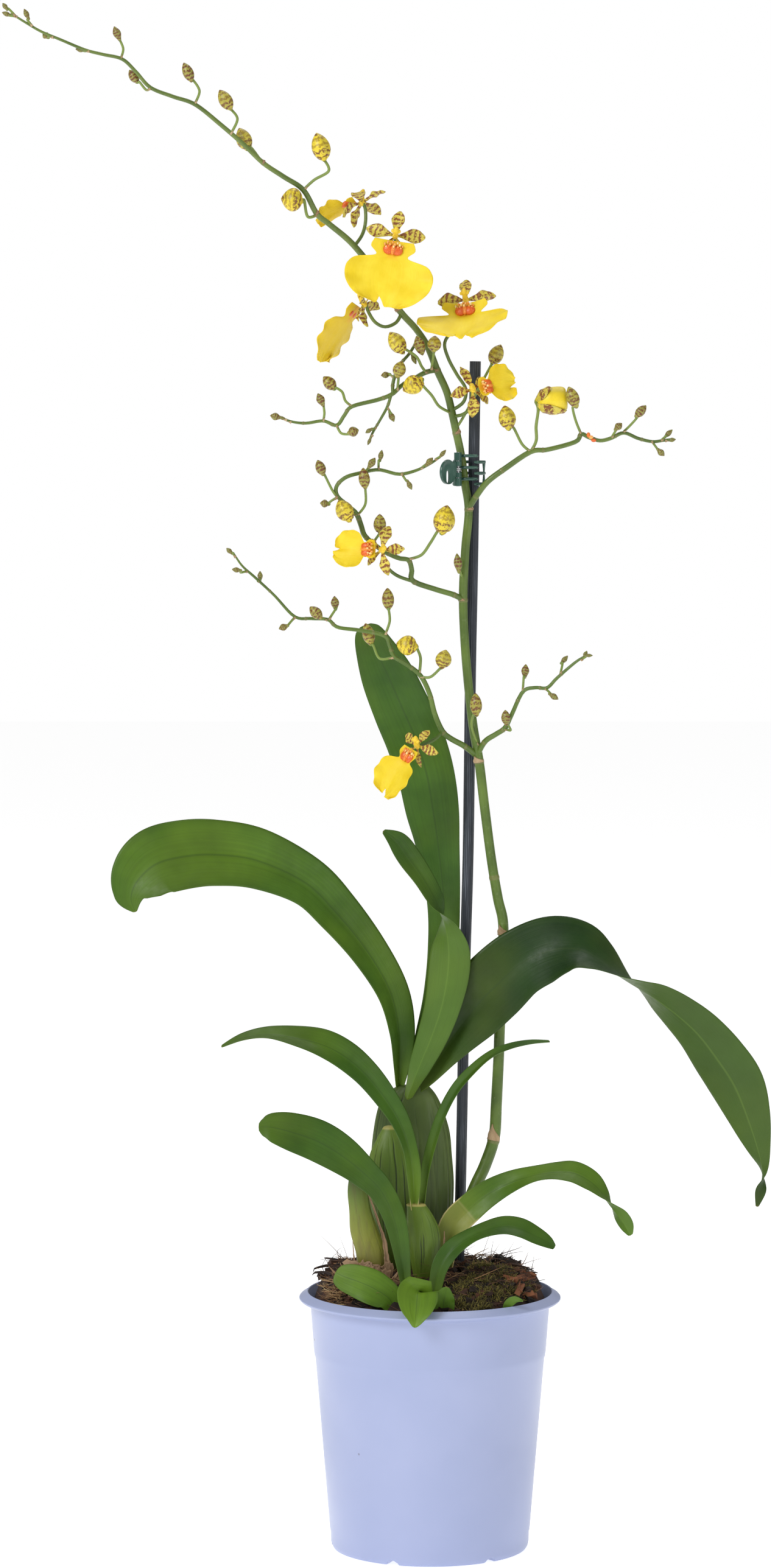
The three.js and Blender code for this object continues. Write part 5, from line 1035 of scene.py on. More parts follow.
# Each spray's twigs, as rows of (x, y, z, radius), and its buds: (tip, base, radius, stalk down to its
# twig). The flower stem's own buds stand on the cane itself.
SPRAYS = {
    "flower_stem": ([], [
        ((-191.5, -20, 704), (-189.5, -20, 701), 1.1, [(-189, -19.5, 701.5), (-186, -19, 698.5)]),
        ((-192, -18, 700), (-188, -18, 698.5), 1.1, [(-188.5, -18, 698.5), (-185, -18.5, 698)]),
        ((-182, -19, 701.5), (-180, -19, 697), 1.2, [(-180.5, -18.5, 696.5), (-178.5, -18, 694)]),
        ((-174, -14.5, 691), (-171.5, -14.5, 689), 1.6, [(-171.5, -15.5, 689.5), (-169, -16.5, 689)]),
        ((-159.5, -13, 684), (-155, -13, 683.5), 1.2, [(-155.5, -14, 683), (-153, -15, 683)]),
        ((-142, -15, 694), (-139.5, -15, 688), 1.8, [
         (-139.5, -14.5, 688), (-138, -13.5, 684), (-139, -13, 680)]),
        ((-135.5, -9, 675), (-132, -9, 669.5), 2.2, [
         (-131, -9.5, 669.5), (-128, -10.5, 666), (-126, -11, 666.5)]),
        ((-111, -12, 678), (-107.5, -12, 670), 2.5, [
         (-107, -11, 670.5), (-104, -10, 665.5), (-106, -9, 660)]),
        ((-95, -10, 666), (-90, -10, 657.5), 3.1, [(-90, -9, 657.5), (-87, -8.5, 653), (-90, -7.5, 646.5)]),
        ((-86.5, 0, 649.5), (-82.5, 0, 640), 3.6, [(-81, -2.5, 640.5), (-76.5, -5, 634.5)]),
        ((-51.5, -6, 647), (-48, -6, 635), 4.3, [
         (-48, -5, 635), (-46, -4.5, 630), (-52.5, -4, 626), (-57, -3, 622)]),
        ((-67.5, -6, 617.5), (-58, -6, 616.5), 5.4, [
         (-57, -5, 616.5), (-55.5, -3.5, 609.5), (-51, -1, 610.5)]),
        ((12, 0, 457.5), (13, 0, 449), 1.9, [(13.5, 3, 449), (15, 6.5, 445.5)]),
        ((20.5, -2, 394), (21, -2, 384), 2.8, [(19.5, 0.5, 383.5), (19, 3, 378), (22, 5.5, 369.5)]),
        ((-12.5, -8, 531), (-4, -8, 536), 4.4, [
         (-3.5, -7, 533.5), (0.5, -3, 529), (4, 2, 524), (9.5, 8, 521)]),
        ((32, 4, 552), (28, 5, 543.5), 3.4, [
         (27.5, 5, 542.5), (24, 6, 536), (15.5, 7.5, 520), (11, 8.3, 513)])]),
    "spray_top_left": ([
        [(3, 6.5, 540.5, 1.2), (-2, 4, 539.5, 1.15), (-7.5, 2, 536.5, 1.1), (-13, 0, 533.5, 1),
         (-17.5, -2, 529.5, 1), (-24, -3, 527, 0.95), (-35.5, -5, 524, 0.9), (-39, -6, 520, 0.85),
         (-42.5, -7, 515.5, 0.85), (-48.5, -8, 517.5, 0.75), (-56, -9, 516.5, 0.7), (-62, -10, 517, 0.6),
         (-66.5, -10, 518.5, 0.5)],
        [(-18, -2, 529, 0.75), (-19.5, -3, 524, 0.65), (-22.5, -5, 518.5, 0.6), (-26, -6, 512.5, 0.55),
         (-27.5, -7, 509, 0.5)],
        [(-17, -2, 529.5, 0.8), (-17, -1, 534.5, 0.8), (-14.5, 1, 542, 0.75), (-9.5, 2, 548, 0.7),
         (-6, 2.2, 554, 0.65)]], [
        ((-48.5, -2, 537.5), (-43.5, -2, 532), 2.8, [
         (-43, -3, 532.5), (-40, -3.5, 530.5), (-38.5, -4, 526.5), (-35.5, -5, 524)]),
        ((-51, -9, 530), (-48.5, -9, 524.5), 1.9, [
         (-48.5, -8.5, 525), (-48, -8.5, 521), (-48.5, -8, 517.5)]),
        ((-32.5, -10, 513.5), (-37, -10, 512), 2.3, [
         (-37, -9, 511.5), (-40.5, -8, 512), (-42.5, -7, 515.5)]),
        ((-28.5, -7.5, 506.5), (-27, -7.5, 510), 0.8, [(-27.5, -7, 509), (-26.5, -6.5, 511)]),
        ((-29.5, -8, 512), (-26.5, -8, 514), 1, [(-26.5, -7, 513.5), (-25, -5.5, 514.5)]),
        ((-16.5, -1, 517), (-18.5, -1, 521.5), 1.4, [(-18, -2, 521), (-19.5, -3, 523.5)]),
        ((-22.5, 2, 538), (-18.5, 2, 538.5), 1.5, [(-18.5, 1, 538.5), (-16.5, 0, 537)]),
        ((-13, -6, 544.5), (-15, -6, 537.5), 3, [(-14.5, -4, 537.5), (-15, -1.5, 531.5)]),
        ((-6.5, -1, 543), (-8.5, -1, 547.5), 1.1, [(-8.5, 0.5, 548), (-9.5, 2, 548.5)]),
        ((-3.5, -2, 547), (-6, -2, 555), 2.5, [(-6, 0, 554.5), (-7.5, 2.2, 551.5)]),
        ((2, -2, 556), (1.5, -2, 549), 3.2, [(1.5, -1, 548.5), (0.5, 3, 541)]),
        ((-18.5, -6, 557.5), (-12.5, -6, 548.5), 3.9, [
         (-12, -5, 550), (-6.5, -3, 546.5), (-4, -1, 542), (-2, 3.5, 539.5)]),
        ((-65, -10, 518), (-69, -10, 519.5), 0.8, [(-65.5, -10, 518), (-63, -10, 517)]),
        ((-72.5, -10.5, 520), (-68, -10, 519), 1.7, [(-68, -10, 519), (-65, -10, 518)])]),
    "spray_top_right": ([
        [(17.4, 8, 477.5, 1.4), (21, 4.4, 483.5, 1.4), (26, 0.5, 490, 1.35), (34, 0, 496, 1.3),
         (45.5, 1, 503.5, 1.2), (53.5, 2, 504.5, 1.1), (66, 4, 508, 1.05), (68.5, 5, 511.5, 1),
         (72, 5, 510, 0.95), (77, 6, 508.5, 0.9), (82, 7, 509.5, 0.9), (88, 8, 512, 0.85),
         (94.5, 9, 509.5, 0.8), (101, 10, 508, 0.75), (106, 11, 508.5, 0.7), (110, 12, 509, 0.6)]], [
        ((33.5, -3, 524.5), (35.5, -3, 514), 4, [(37.5, -1.5, 514.5), (41.5, -0.5, 507), (45.5, 1, 503.5)]),
        ((62, 6, 527.5), (48.5, 6, 526), 6.1, [
         (49, 5, 522.5), (48, 3.5, 515), (48, 2, 508.5), (45.5, 1, 503.5)]),
        ((62.5, -2, 533), (66, -2, 524), 2.9, [(64.5, 0.5, 523.5), (66, 3.5, 517.5), (68.5, 5, 511.5)]),
        ((87, 4, 516.5), (84, 4, 513.5), 1.7, [(84.5, 5.5, 513.5), (82.5, 7, 510)]),
        ((98, 5, 524.5), (93.5, 5, 519.5), 2.1, [(94, 6, 519), (91, 7, 515.5), (88, 8, 512.5)]),
        ((110.5, 13, 513.5), (107, 13, 510), 1.2, [(107.5, 12, 510.5), (105, 10.5, 508.5)]),
        ((106.5, 7, 501.5), (103.5, 7, 504.5), 1.5, [(103.5, 8.5, 504.5), (101, 10, 508)]),
        ((112, 12, 509), (108.5, 12, 508.5), 1, [(109, 11.8, 508.8), (107, 11, 508.5)])]),
    "spray_mid_left": ([
        [(15, 6.5, 436, 1.3), (10.5, 3, 438.5, 1.3), (2.5, 0, 441, 1.25), (-8, -4, 445, 1.25),
         (-8.5, -5, 450, 1.15), (-10, -6, 454.5, 1.1), (-14.5, -7, 455.5, 1.1), (-21, -8, 458.5, 1.1),
         (-26.5, -9, 462.5, 1.15), (-30, -9, 466, 1.2), (-31.5, -10, 470.5, 1.2),
         (-33.5, -11, 475.5, 1.2), (-37, -12, 479, 1), (-42, -13, 483.5, 0.95), (-42.5, -13, 488, 0.9),
         (-38.5, -13, 492, 0.9), (-32, -12, 494, 0.85), (-23.5, -11, 495.5, 0.8),
         (-14.5, -10, 493.5, 0.8), (-7, -9, 495, 0.7), (-0.5, -8, 498, 0.6), (4, -7, 501, 0.5)]], [
        ((7.5, -10, 479.5), (5, -10, 467), 5, [
         (3.5, -9, 468), (0, -8, 462.5), (-4, -7, 457), (-9.5, -6, 455)]),
        ((-23, -7.5, 475.5), (-23, -7.5, 467), 2.9, [(-23.5, -7.5, 466), (-26, -9, 462.5)]),
        ((-41.5, -18, 482), (-36.5, -18, 473), 4.1, [(-36, -14.5, 475), (-33.5, -11, 475.5)]),
        ((-30.5, -16, 496.5), (-29.5, -16, 487.5), 2.6, [
         (-29.5, -14.5, 487), (-29.5, -12.5, 480), (-33, -11, 475)]),
        ((-51, -17, 500), (-48.5, -17, 493.5), 2.3, [
         (-48, -15.5, 493.5), (-44.5, -14.5, 486.5), (-42, -13, 483)]),
        ((-50, -12, 480.5), (-46, -12, 480), 1.8, [(-45.5, -12.5, 481), (-42.5, -13, 483)]),
        ((-25, -15, 501), (-28, -15, 496.5), 1.6, [(-28, -13.5, 496.5), (-30, -12, 494)]),
        ((-22, -9, 504.5), (-23, -9, 499.5), 1.2, [(-23.5, -10, 499.5), (-23.5, -11, 495.5)]),
        ((-8.5, -13, 486.5), (-10.5, -13, 490.5), 1.2, [(-11, -11.5, 490.5), (-13, -10, 493.5)]),
        ((1, -10, 501), (-2, -10, 497.5), 1.4, [(-2, -9, 498), (-4.5, -8.5, 496)]),
        ((7, -7, 504.5), (4, -7, 501), 1, [(4.2, -7, 501.3), (2, -7.5, 500)])]),
    "spray_low_left": ([
        [(21, 6.5, 365, 1.4), (15.5, 2, 369.5, 1.35), (9.5, -1, 373, 1.3), (5.5, -2, 376.5, 1.3),
         (2, -3, 384.5, 1.2), (-0.5, -4, 394, 1.15), (-4.5, -5, 402, 1.1), (-10.5, -7, 407, 1.05),
         (-16.5, -9, 411, 1), (-18.5, -10, 416, 0.95), (-21, -11, 420.5, 0.95), (-32, -13, 423, 0.9),
         (-42, -15, 424.5, 0.85), (-46.5, -16, 428, 0.8), (-54, -17, 428.5, 0.75),
         (-61.5, -18, 429.5, 0.7), (-70.5, -19, 439, 0.6), (-79, -20, 447, 0.6), (-85, -21, 452.5, 0.5),
         (-89, -22, 458.5, 0.4)]], [
        ((-92, -22, 460.5), (-89.5, -22, 458), 1.1, [(-89.5, -22, 458.5), (-88, -21.5, 456.5)]),
        ((-89.5, -25, 451), (-85.5, -25, 450.5), 1.2, [(-85.5, -23, 449.5), (-83, -20.5, 450)]),
        ((-77, -16, 450), (-77, -16, 445.5), 1.2, [(-77, -18, 446), (-78, -20, 445.5)]),
        ((-68.5, -22, 424), (-64.5, -22, 425.5), 1.6, [(-64.5, -20, 425.5), (-61.5, -18, 429)]),
        ((-54.5, -20, 434), (-49.5, -20, 429), 2.5, [(-49.5, -18, 429), (-47, -16, 428)]),
        ((-43.5, -11, 438.5), (-43, -11, 432.5), 1.9, [(-43, -13.5, 432.5), (-46, -16, 428)]),
        ((-19.5, -7, 442), (-19, -7, 432.5), 2.8, [
         (-19, -8.5, 432.5), (-18.5, -9.5, 427), (-20.5, -11, 421)]),
        ((-29.5, -7, 426), (-27, -7, 416.5), 2.9, [(-26, -7.5, 416), (-23, -8.5, 410), (-17, -9, 410.5)]),
        ((-15.5, -13, 417), (-6.5, -13, 415.5), 4.6, [
         (-6, -10.5, 414.5), (-4.5, -7.5, 410), (-5, -5, 403)]),
        ((7, -9, 414), (5, -9, 406), 3.7, [(4.5, -7.5, 405.5), (0, -6.5, 401.5), (-4.5, -5, 401.5)])]),
    "spray_low_right": ([
        [(21.5, 6.5, 365, 1.3), (25, 3, 371.5, 1.25), (30, 1, 375, 1.2), (34, -1, 378, 1.15),
         (37, -2, 384, 1), (42, -3, 394.5, 0.9), (47.5, -4, 396.5, 0.85), (53, -5, 396.5, 0.8),
         (57.5, -6, 401, 0.75), (65.5, -7, 408, 0.65), (70, -8, 411, 0.5)]], [
        ((34, -6, 386.5), (34.5, -6, 380), 2.1, [(35, -4.5, 380), (36.5, -2.5, 377), (34, -1, 377.5)]),
        ((43.5, 1, 407), (43, 1, 401), 1.8, [(42.5, -1, 401), (42, -3, 395)]),
        ((58, -10, 391.5), (54, -10, 394), 1.4, [(54.5, -7.5, 394), (52.5, -5, 396)]),
        ((62.5, -2, 411), (59.5, -2, 407.5), 1.2, [(60, -4, 407.5), (59, -6.5, 403)]),
        ((71, -8, 413.5), (69.5, -8, 410.5), 1, [(69.5, -8, 410.5), (68.5, -7.5, 409.5)]),
        ((73.5, -11, 411.5), (70, -11, 411.5), 0.8, [(70.5, -9.5, 411), (68.5, -7.5, 409.5)])]),
}
# A bud's barrel, from its mouth to its foot: (share of its length, share of its radius).
OPENING = [
    (-0.02, 0.06), (0.0, 0.55), (0.03, 0.8), (0.14, 0.95), (0.38, 1.0), (0.62, 0.98), (0.86, 0.78),
    (1.02, 0.3)
]
PLUMP = [
    (0.0, 0.03), (0.07, 0.3), (0.22, 0.68), (0.4, 0.92), (0.58, 1.0), (0.76, 0.9), (0.92, 0.62),
    (1.02, 0.3)
]
SLENDER = [(0.005, 0.04), (0.15, 0.48), (0.4, 0.96), (0.62, 0.98), (0.88, 0.6), (1.02, 0.42)]
BUD_SHAPES = {6: OPENING, 2: PLUMP, 0: SLENDER}  # by the radius above which a bud has the shape
# Bracts pressed to the cane: (place, radius, height).
CANE_BRACTS = [((29.2, 4, 189), 2.8, 9.5), ((33.4, 5, 283), 2.5, 6), ((21.2, 6.5, 362), 2.3, 4)]
# Scales standing at the joints: (joint, way out, height).
JOINT_SCALES = [
    ((12, 8.5, 512), (1, -1, 0), 7), ((3, 6.5, 540.5), (-1, -1, 0), 6),
    ((-14.5, 4, 568), (-1, -0.6, 0.4), 6), ((-51.5, -1, 611), (0, -1, 1), 5),
    ((-75.5, -5, 633.5), (0.4, -1, 0.8), 4.5), ((15, 6.5, 436), (-1, -1, 0), 6),
    ((17.3, 8, 477), (1, -1, 0), 6)
]
# Scales round the feet of the growths: (place, direction, way out, (radius, height, lean), spread).
FOOT_SCALES = [
    ((-34.5, -25, 127), (-0.35, -0.1, 1), (-0.6, -1, 0), (3.4, 14, 1.8), 0.9),
    ((-31, -26, 126), (-0.1, 0, 1), (-0.1, -1, 0), (3.8, 13, 1.2), 0.8),
    ((-25.5, -26, 125), (0.12, 0, 1), (0.25, -1, 0), (3.8, 13.5, 1.4), 0.8),
    ((-20.5, -25.5, 124), (0.35, 0, 1), (0.6, -1, 0), (3.4, 15, 2.2), 0.9),
    ((-37, -23, 128), (-0.6, 0, 1), (-1, -0.5, 0), (2.8, 12, 2.0), 0.9),
    ((-28, -26.5, 127), (0.3, 0, 1), (0, -1, 0), (3.0, 11, 1.5), 0.7),
    ((-17, -27.5, 125), (0.2, 0, 1), (0.2, -1, 0), (3.2, 12, 1.6), 0.8),
    ((-19, -30, 119), (0.5, -0.1, 1), (0.3, -1, 0), (3.6, 10, 2.2), 0.9),
    ((12, -15, 124), (0.5, 0, 1), (0.6, -1, 0), (4.4, 9, 1.8), 0.9)
]
# Strips torn from old sheaths, and the ragged collar at the left growth's foot: (rows, way out).
TORN_STRIPS = [
    ([(-28.4, -25.6, 168, 0.3), (-25.6, -26, 160, 0.45), (-22.8, -26.6, 151.5, 0.7),
      (-20.8, -26.8, 143, 0.95), (-20.2, -27.4, 137, 1.3), (-20.4, -27, 128, 1.3)], (0.6, -1, 0)),
    ([(-35.2, -24.6, 146, 0.15), (-34.6, -25.2, 139, 0.3), (-33.8, -26, 132, 0.6),
      (-32.6, -26.6, 123, 0.8)], (-0.6, -1, 0)),
    ([(6.2, -22.2, 150, 0.15), (6.1, -22.4, 146, 0.4), (5.6, -22.8, 140, 0.6), (3.8, -23.2, 131, 0.7)],
     (0.8, -1, 0)),
    ([(-38.6, -23.5, 134.5, 2.5), (-36, -27, 135, 4), (-31.5, -28.8, 134.2, 4.6), (-26, -29, 133.2, 4.4),
      (-21, -28.4, 132.2, 4.2), (-17.5, -26, 131.5, 3)], (0, -1, 0.1)),
    ([(-37, -26.5, 131, 3), (-33, -29.6, 132, 4.6), (-28, -30.4, 131.4, 4), (-23, -30.2, 130.6, 4.6),
      (-18.5, -28.4, 130, 3.6)], (0, -1, 0.2)),
]


def stalk_tube(rows, sides=12, spacing=1.6):
    """A tube along rows of (x, y, z, radius), with a ring about every spacing of its length."""
    return tube(rows, sides, int(np.clip(run_length(rows) / spacing, 8, 460)))


def stalked_bud(tip, base, radius, stalk):
    """A bud and its stalk in one skin: an ovoid with three faint seams, widest near its middle,
    whose third mark is 1 on the bud and 0 on its stalk. Small buds are green and big ones yellow."""
    tip, base = np.array(tip, float), np.array(base, float)
    shape = next(shape for least, shape in BUD_SHAPES.items() if radius > least)
    tone = 0.95 if shape is OPENING else min(0.9, max(0.0, (radius - 0.8) / 3.8))
    rows = [(*(tip + (base - tip) * share), radius * wide) for share, wide in shape]
    rows[-1] = (*rows[-1][:3], min(rows[-1][3], 0.55) + 0.1 * radius)
    rows += [(*point, 0.5 + 0.035 * radius) for point in stalk]
    count, last = len(rows) - 1, len(shape) - 1
    down = np.linspace(last / count, 1, 12 + 6 * len(stalk))
    s = np.concatenate([np.linspace(0, last / count, 30), down[1:]])
    found = spline(rows, s)
    path, wide = found[:, :3], np.maximum(found[:, 3], 0.06)
    _, side, other = path_frames(path)
    angle = circle(14 if shape is SLENDER else 20)
    on_bud = np.clip((len(shape) - 0.9 - s * count) * 3, 0, 1)[:, None]
    ridge = 1 - 0.055 * on_bud * np.exp(-(((3 * angle / (2 * np.pi) + 0.5) % 1 - 0.5) * 7) ** 2)
    rings = ringed(path, side, other, angle, (wide[:, None] * ridge)[..., None])
    share = np.clip(s * count / last, 0, 1)
    seam = np.maximum((1 - ridge) / 0.055, 1 - on_bud)
    return loft(rings, share[:, None], seam, on_bud, tone)


def bract_sheet(place, direction, out, size, spread, tone, rows=19, columns=17):
    """A papery scale at a joint: a pointed sheet wrapped round the stem by the spread angle, standing
    away from it towards the tip. size: (radius, height, how far the tip leans out)."""
    radius, height, lean = size
    direction = unit(direction)
    out = unit(out - direction * (out @ direction))
    side = np.cross(direction, out)
    s, v = sheet_grid(rows, columns)
    narrow = 1 - s ** 2.2
    angle = v * spread * (0.35 + 0.65 * narrow)
    away = radius * 1.04 + 0.2 + lean * s ** 1.6 + 0.12 * np.sin(9 * s + 5 * v)
    rise = (s * (1 - 0.35 * np.abs(v) ** 1.5) - 0.12) * height
    sideways = np.sin(angle) * away * (0.25 + 0.75 * narrow)
    points = (np.array(place, float) + (np.cos(angle) * away)[..., None] * out + sideways[..., None] * side
              + rise[..., None] * direction)
    return sheet(points, np.full(s.shape, 0.16), s, v, 0, tone)


def torn_strip(rows, out, seed):
    """A dry strip torn from an old sheath, along rows of (x, y, z, half width): the half width goes up and
    down by noise, and the strip buckles away from what it lies on."""
    s, v = sheet_grid(64, 7)
    found = spline(rows, s)
    path, half = found[..., :3], found[..., 3]
    heading = unit(np.gradient(path, axis=0))
    out = np.array(out, float)
    facing = unit(out - heading * (heading @ out)[..., None])
    torn = 0.3 + 0.9 * smooth_noise(6 * s + 3, 1.3 * np.sign(v) + 5, seed)
    torn = torn + 0.6 * smooth_noise(27 * s, 1.7 * np.sign(v) + 9, seed) ** 2
    lift = 0.5 + 1.1 * smooth_noise(7 * s + 9, 1.5 * v + 4, seed + 1) * np.abs(v)
    points = (path + np.cross(heading, facing) * (half * torn * v)[..., None]
              + facing * (np.minimum(half, 1.2) * lift)[..., None])
    return sheet(points, np.full(s.shape, 0.16), s, v, 0, 0.85)


def joint_ring(place, direction, radius, height, swell):
    """A low swollen ring round a stem at one of its joints."""
    ends = [place + unit(direction) * height * k for k in np.linspace(-1, 1, 7)]
    fat = radius * 0.96 + swell * np.exp(-(np.linspace(-1.6, 1.6, 7) ** 2))
    return tube([(*end, r) for end, r in zip(ends, fat)], 18, 14, 0, 1)


# Brown bars and freckles over a yellow ground, as on the buds, sepals and petals: bands across the
# along mark, broken up by noise, that thin out into spots.
bars, given, kept = socket_group("brown bars", {"Bands": 4.0, "Scale": 420.0, "Fade": 0.5}, "Mask")
place = object_place(bars)
along = run_marks(bars)[0]
patchy = noise(bars, place, given["Scale"], 2.5)
speckle = noise(bars, place, times(bars, given["Scale"], 2.6), 2.0)
phase = work(bars, "MULTIPLY_ADD", patchy, 1.7, times(bars, along, given["Bands"]))
band = between(bars, work(bars, "PINGPONG", phase, 0.5), 0.16, 0.28)
spread = between(bars, work(bars, "SUBTRACT", given["Fade"], along), -0.18, 0.22)
solid = times(bars, band, between(bars, speckle, 0.36, 0.5))
thinned = work(bars, "SUBTRACT", 0.85, times(bars, spread, 0.4))
spots = times(bars, between(bars, speckle, 0.56, 0.64), thinned)
bars.links.new(work(bars, "MAXIMUM", times(bars, solid, spread), spots), kept["Mask"])


def barred(tree, bands, scale, fade):
    """The mask of the brown bars, so many along, fading at the fade's share."""
    inputs = {"Bands": bands, "Scale": scale, "Fade": fade}
    return wire(tree, "ShaderNodeGroup", inputs, node_tree=bars).outputs["Mask"]


stem_skin, tree = new_material("green cane and buds")
along, seam, on_bud, tone = run_marks(tree)
wash, grain = uneven(tree, 75.0)
height = wire(tree, "ShaderNodeSeparateXYZ", {0: object_place(tree)}).outputs[2]
cane = blend(tree, wash, (70, 94, 26), (94, 118, 42))
twig = blend(tree, wash, (76, 96, 36), (106, 124, 54))
green = painted(
    tree, blend(tree, between(tree, height, 0.36, 0.6), cane, twig),
    (between(tree, grain, 0.58, 0.75, 0, 0.2), (150, 160, 120)),  # pale lines
    (times(tree, seam, 0.45), (142, 162, 74)),
    (times(tree, between(tree, tone, 0.96, 1.0), 0.5), (118, 112, 66)))  # the joints' rings
ground = ramp(tree, tone, (0.0, 116, 122, 56), (0.4, 146, 142, 66), (0.75, 192, 178, 62),
              (0.95, 232, 206, 40))
ground = blend(tree, times(tree, seam, 0.35), ground, (108, 108, 40))
ends = between(tree, work(tree, "ABSOLUTE", work(tree, "SUBTRACT", along, 0.42)), 0.08, 0.3, 0.55, 1)
ends = work(tree, "MAXIMUM", ends, between(tree, tone, 0.45, 0.85, 1, 0))
blotch = times(tree, barred(tree, 5.5, 420.0, 1.2), ends)
blotch = times(tree, blotch, between(tree, tone, 0.0, 0.35, 0.5, 0.92))
blotch = times(tree, blotch, between(tree, tone, 0.92, 0.945, 1, 0.08))
bud = blend(tree, blotch, ground, (98, 40, 22))
finish_material(tree, Base_Color=blend(tree, on_bud, green, bud), Roughness=grained(tree, grain, 0.34, 0.5),
                Normal=raised(tree, grain, 0.25, 0.0003))

papery, tree = new_material("papery bract")
along, _, _, tone = run_marks(tree)
wash, grain = uneven(tree, 170.0, (1, 1, 0.3))
paper = painted(
    tree, blend(tree, wash, (190, 168, 130), (150, 120, 84)),
    (times(tree, streaks(tree, 9.0, 2.0), 0.35), (140, 110, 78)),  # veins
    (between(tree, along, 0.75, 1.0, 0, 0.5), (128, 92, 62)),  # browned tips
    (between(tree, tone, 0.5, 1.0, 0, 0.9), blend(tree, grain, (92, 58, 40), (166, 132, 100))))  # husks
finish_material(tree, Base_Color=paper, Roughness=0.7, Normal=raised(tree, grain, 0.5, 0.0003))

cane_line = spline(STEM, np.linspace(0, 1, 2000))
cane_headings = unit(np.gradient(cane_line[:, :3], axis=0))


def on_cane(point):
    """The cane's nearest place to a point, its heading there, and its radius."""
    near = np.argmin(np.linalg.norm(cane_line[:, :3] - point, axis=1))
    return cane_line[near, :3], cane_headings[near], cane_line[near, 3]


cane_rings = []
for joint in CANE_JOINTS:
    place, heading, radius = on_cane(joint)
    cane_rings.append(joint_ring(place, heading, radius, 0.6 * radius + 0.4, 0.12 * radius))
for name, (twigs, buds) in SPRAYS.items():
    patches = [stalk_tube(rows) for rows in twigs] + [stalked_bud(*bud) for bud in buds]
    for rows in twigs:
        found = spline(rows, np.linspace(0, 1, 10 * len(rows)))
        heading = unit(np.gradient(found[:, :3], axis=0))
        patches += [joint_ring(found[k, :3], heading[k], found[k, 3], 0.8, 0.14)
                    for k in range(10, len(found) - 10, 20)]
    if name == "flower_stem":
        patches += [stalk_tube(STEM, 22, 2.0)] + cane_rings
    make_piece(name + "_grown", patches, stem_skin, "stem", name)

scales = []
for point, radius, height in CANE_BRACTS:
    place, heading, _ = on_cane(point)
    scales.append(bract_sheet(place, heading, (-0.6, -0.8, 0), (radius, height * 0.8, 0.3), 1.7, 0.65))
for point, out, height in JOINT_SCALES:
    place, heading, radius = on_cane(point)
    scales.append(bract_sheet(place, heading, out, (radius, height * 0.34, 0.2), 1.1, 0.8))
for _, buds in SPRAYS.values():
    for _, _, radius, (*_, before, foot) in buds:
        size, upward = (0.5, 1.4 + 0.35 * radius, 0.2), np.array(before, float) - foot
        scales.append(bract_sheet(foot, upward, (0.2, -1, -0.5), size, 1.0, 0.5, 8, 9))
scales += [bract_sheet(*scale, 0.8) for scale in FOOT_SCALES]
scales += [torn_strip(rows, out, 60 + 3 * number) for number, (rows, out) in enumerate(TORN_STRIPS)]
make_piece("papery_bracts", scales, papery, "dry_sheath")

# ---- The blooms ----
# Dancing-lady flowers: five narrow yellow sepals and petals barred with red-brown, a short column with
# its cap, and a broad frilled yellow lip that is notched at its end and crested with orange-red swellings.

# Each bloom's centre, the way it faces, the way its top sepal points, its size, its lip (length, width,
# curl, bend), and its stalk up from the twig.
BLOOMS = [
    ((-31, 8, 616.5), (-0.45, 0.5, 0.74), (0.82, -0.1, 0.55), 1, (0.66, 0.42, 0.7, 0.05),
     [(-34, 1.2, 597), (-31, 4, 601.5), (-29.5, 6, 607), (-29.5, 7.5, 613)]),
    ((-16, -14, 600.5), (0, -1, 0.05), (0.16, 0, 1), 1, (1, 1, 0.3, 0.05),
     [(-18, 3.5, 574), (-16.5, 0, 579), (-15.5, -6, 592), (-16, -11, 599.5)]),
    ((-30, 2, 570.5), (-0.8, 0.38, 0.46), (0.56, 0, 0.83), 0.85, (1.02, 0.8, 0.2, 0.05),
     [(-13, 4, 566.5), (-15.5, 2, 562), (-20.5, 2, 560), (-25, 2, 562), (-28, 2, 566.5)]),
    ((16, 1, 572), (-0.2, -0.88, 0.4), (-0.02, 0.42, 0.9), 1, (0.92, 1.05, 0.35, 0.65),
     [(9.5, 8, 522), (15, 5, 526), (16, 5, 532), (12, 5, 538.5), (8, 3, 546), (6.5, 2, 553),
      (11, 2, 560), (15, 2.5, 569)]),
    ((19, -5, 531.5), (0.45, -0.8, 0.3), (-0.9, -0.35, -0.15), 0.9, (0.62, 0.5, 0.9, 0.1),
     [(10.8, 8, 519.5), (15, 3, 520.5), (18.5, 0, 524), (18.5, -3, 529.5)]),
    ((-22, -17.6, 459.5), (-0.35, -0.9, 0.2), (0.95, -0.3, 0.05), 0.85, (0.66, 0.48, 0.9, 0.1),
     [(-8.5, -4.2, 445), (-15, -8, 447.5), (-19.5, -12, 451.5), (-21.5, -15.5, 457.5)]),
    ((-6, -11, 370.5), (-0.5, -0.82, 0.28), (0.42, -0.1, 0.9), 0.75, (0.84, 0.5, 0.7, 0.1),
     [(5.5, -2, 376.5), (2, -5, 373), (-3.5, -8.5, 370.5)]),
]
# Sepals and petals: (angle from the top, length, half width, how far the tip bends back).
TEPALS = [
    (0, 11.5, 3, 2.5), (80, 13.5, 3.3, 2.5), (-80, 13.5, 3.3, 2.5), (147, 12, 2.4, 4), (-147, 12, 2.4, 4)
]
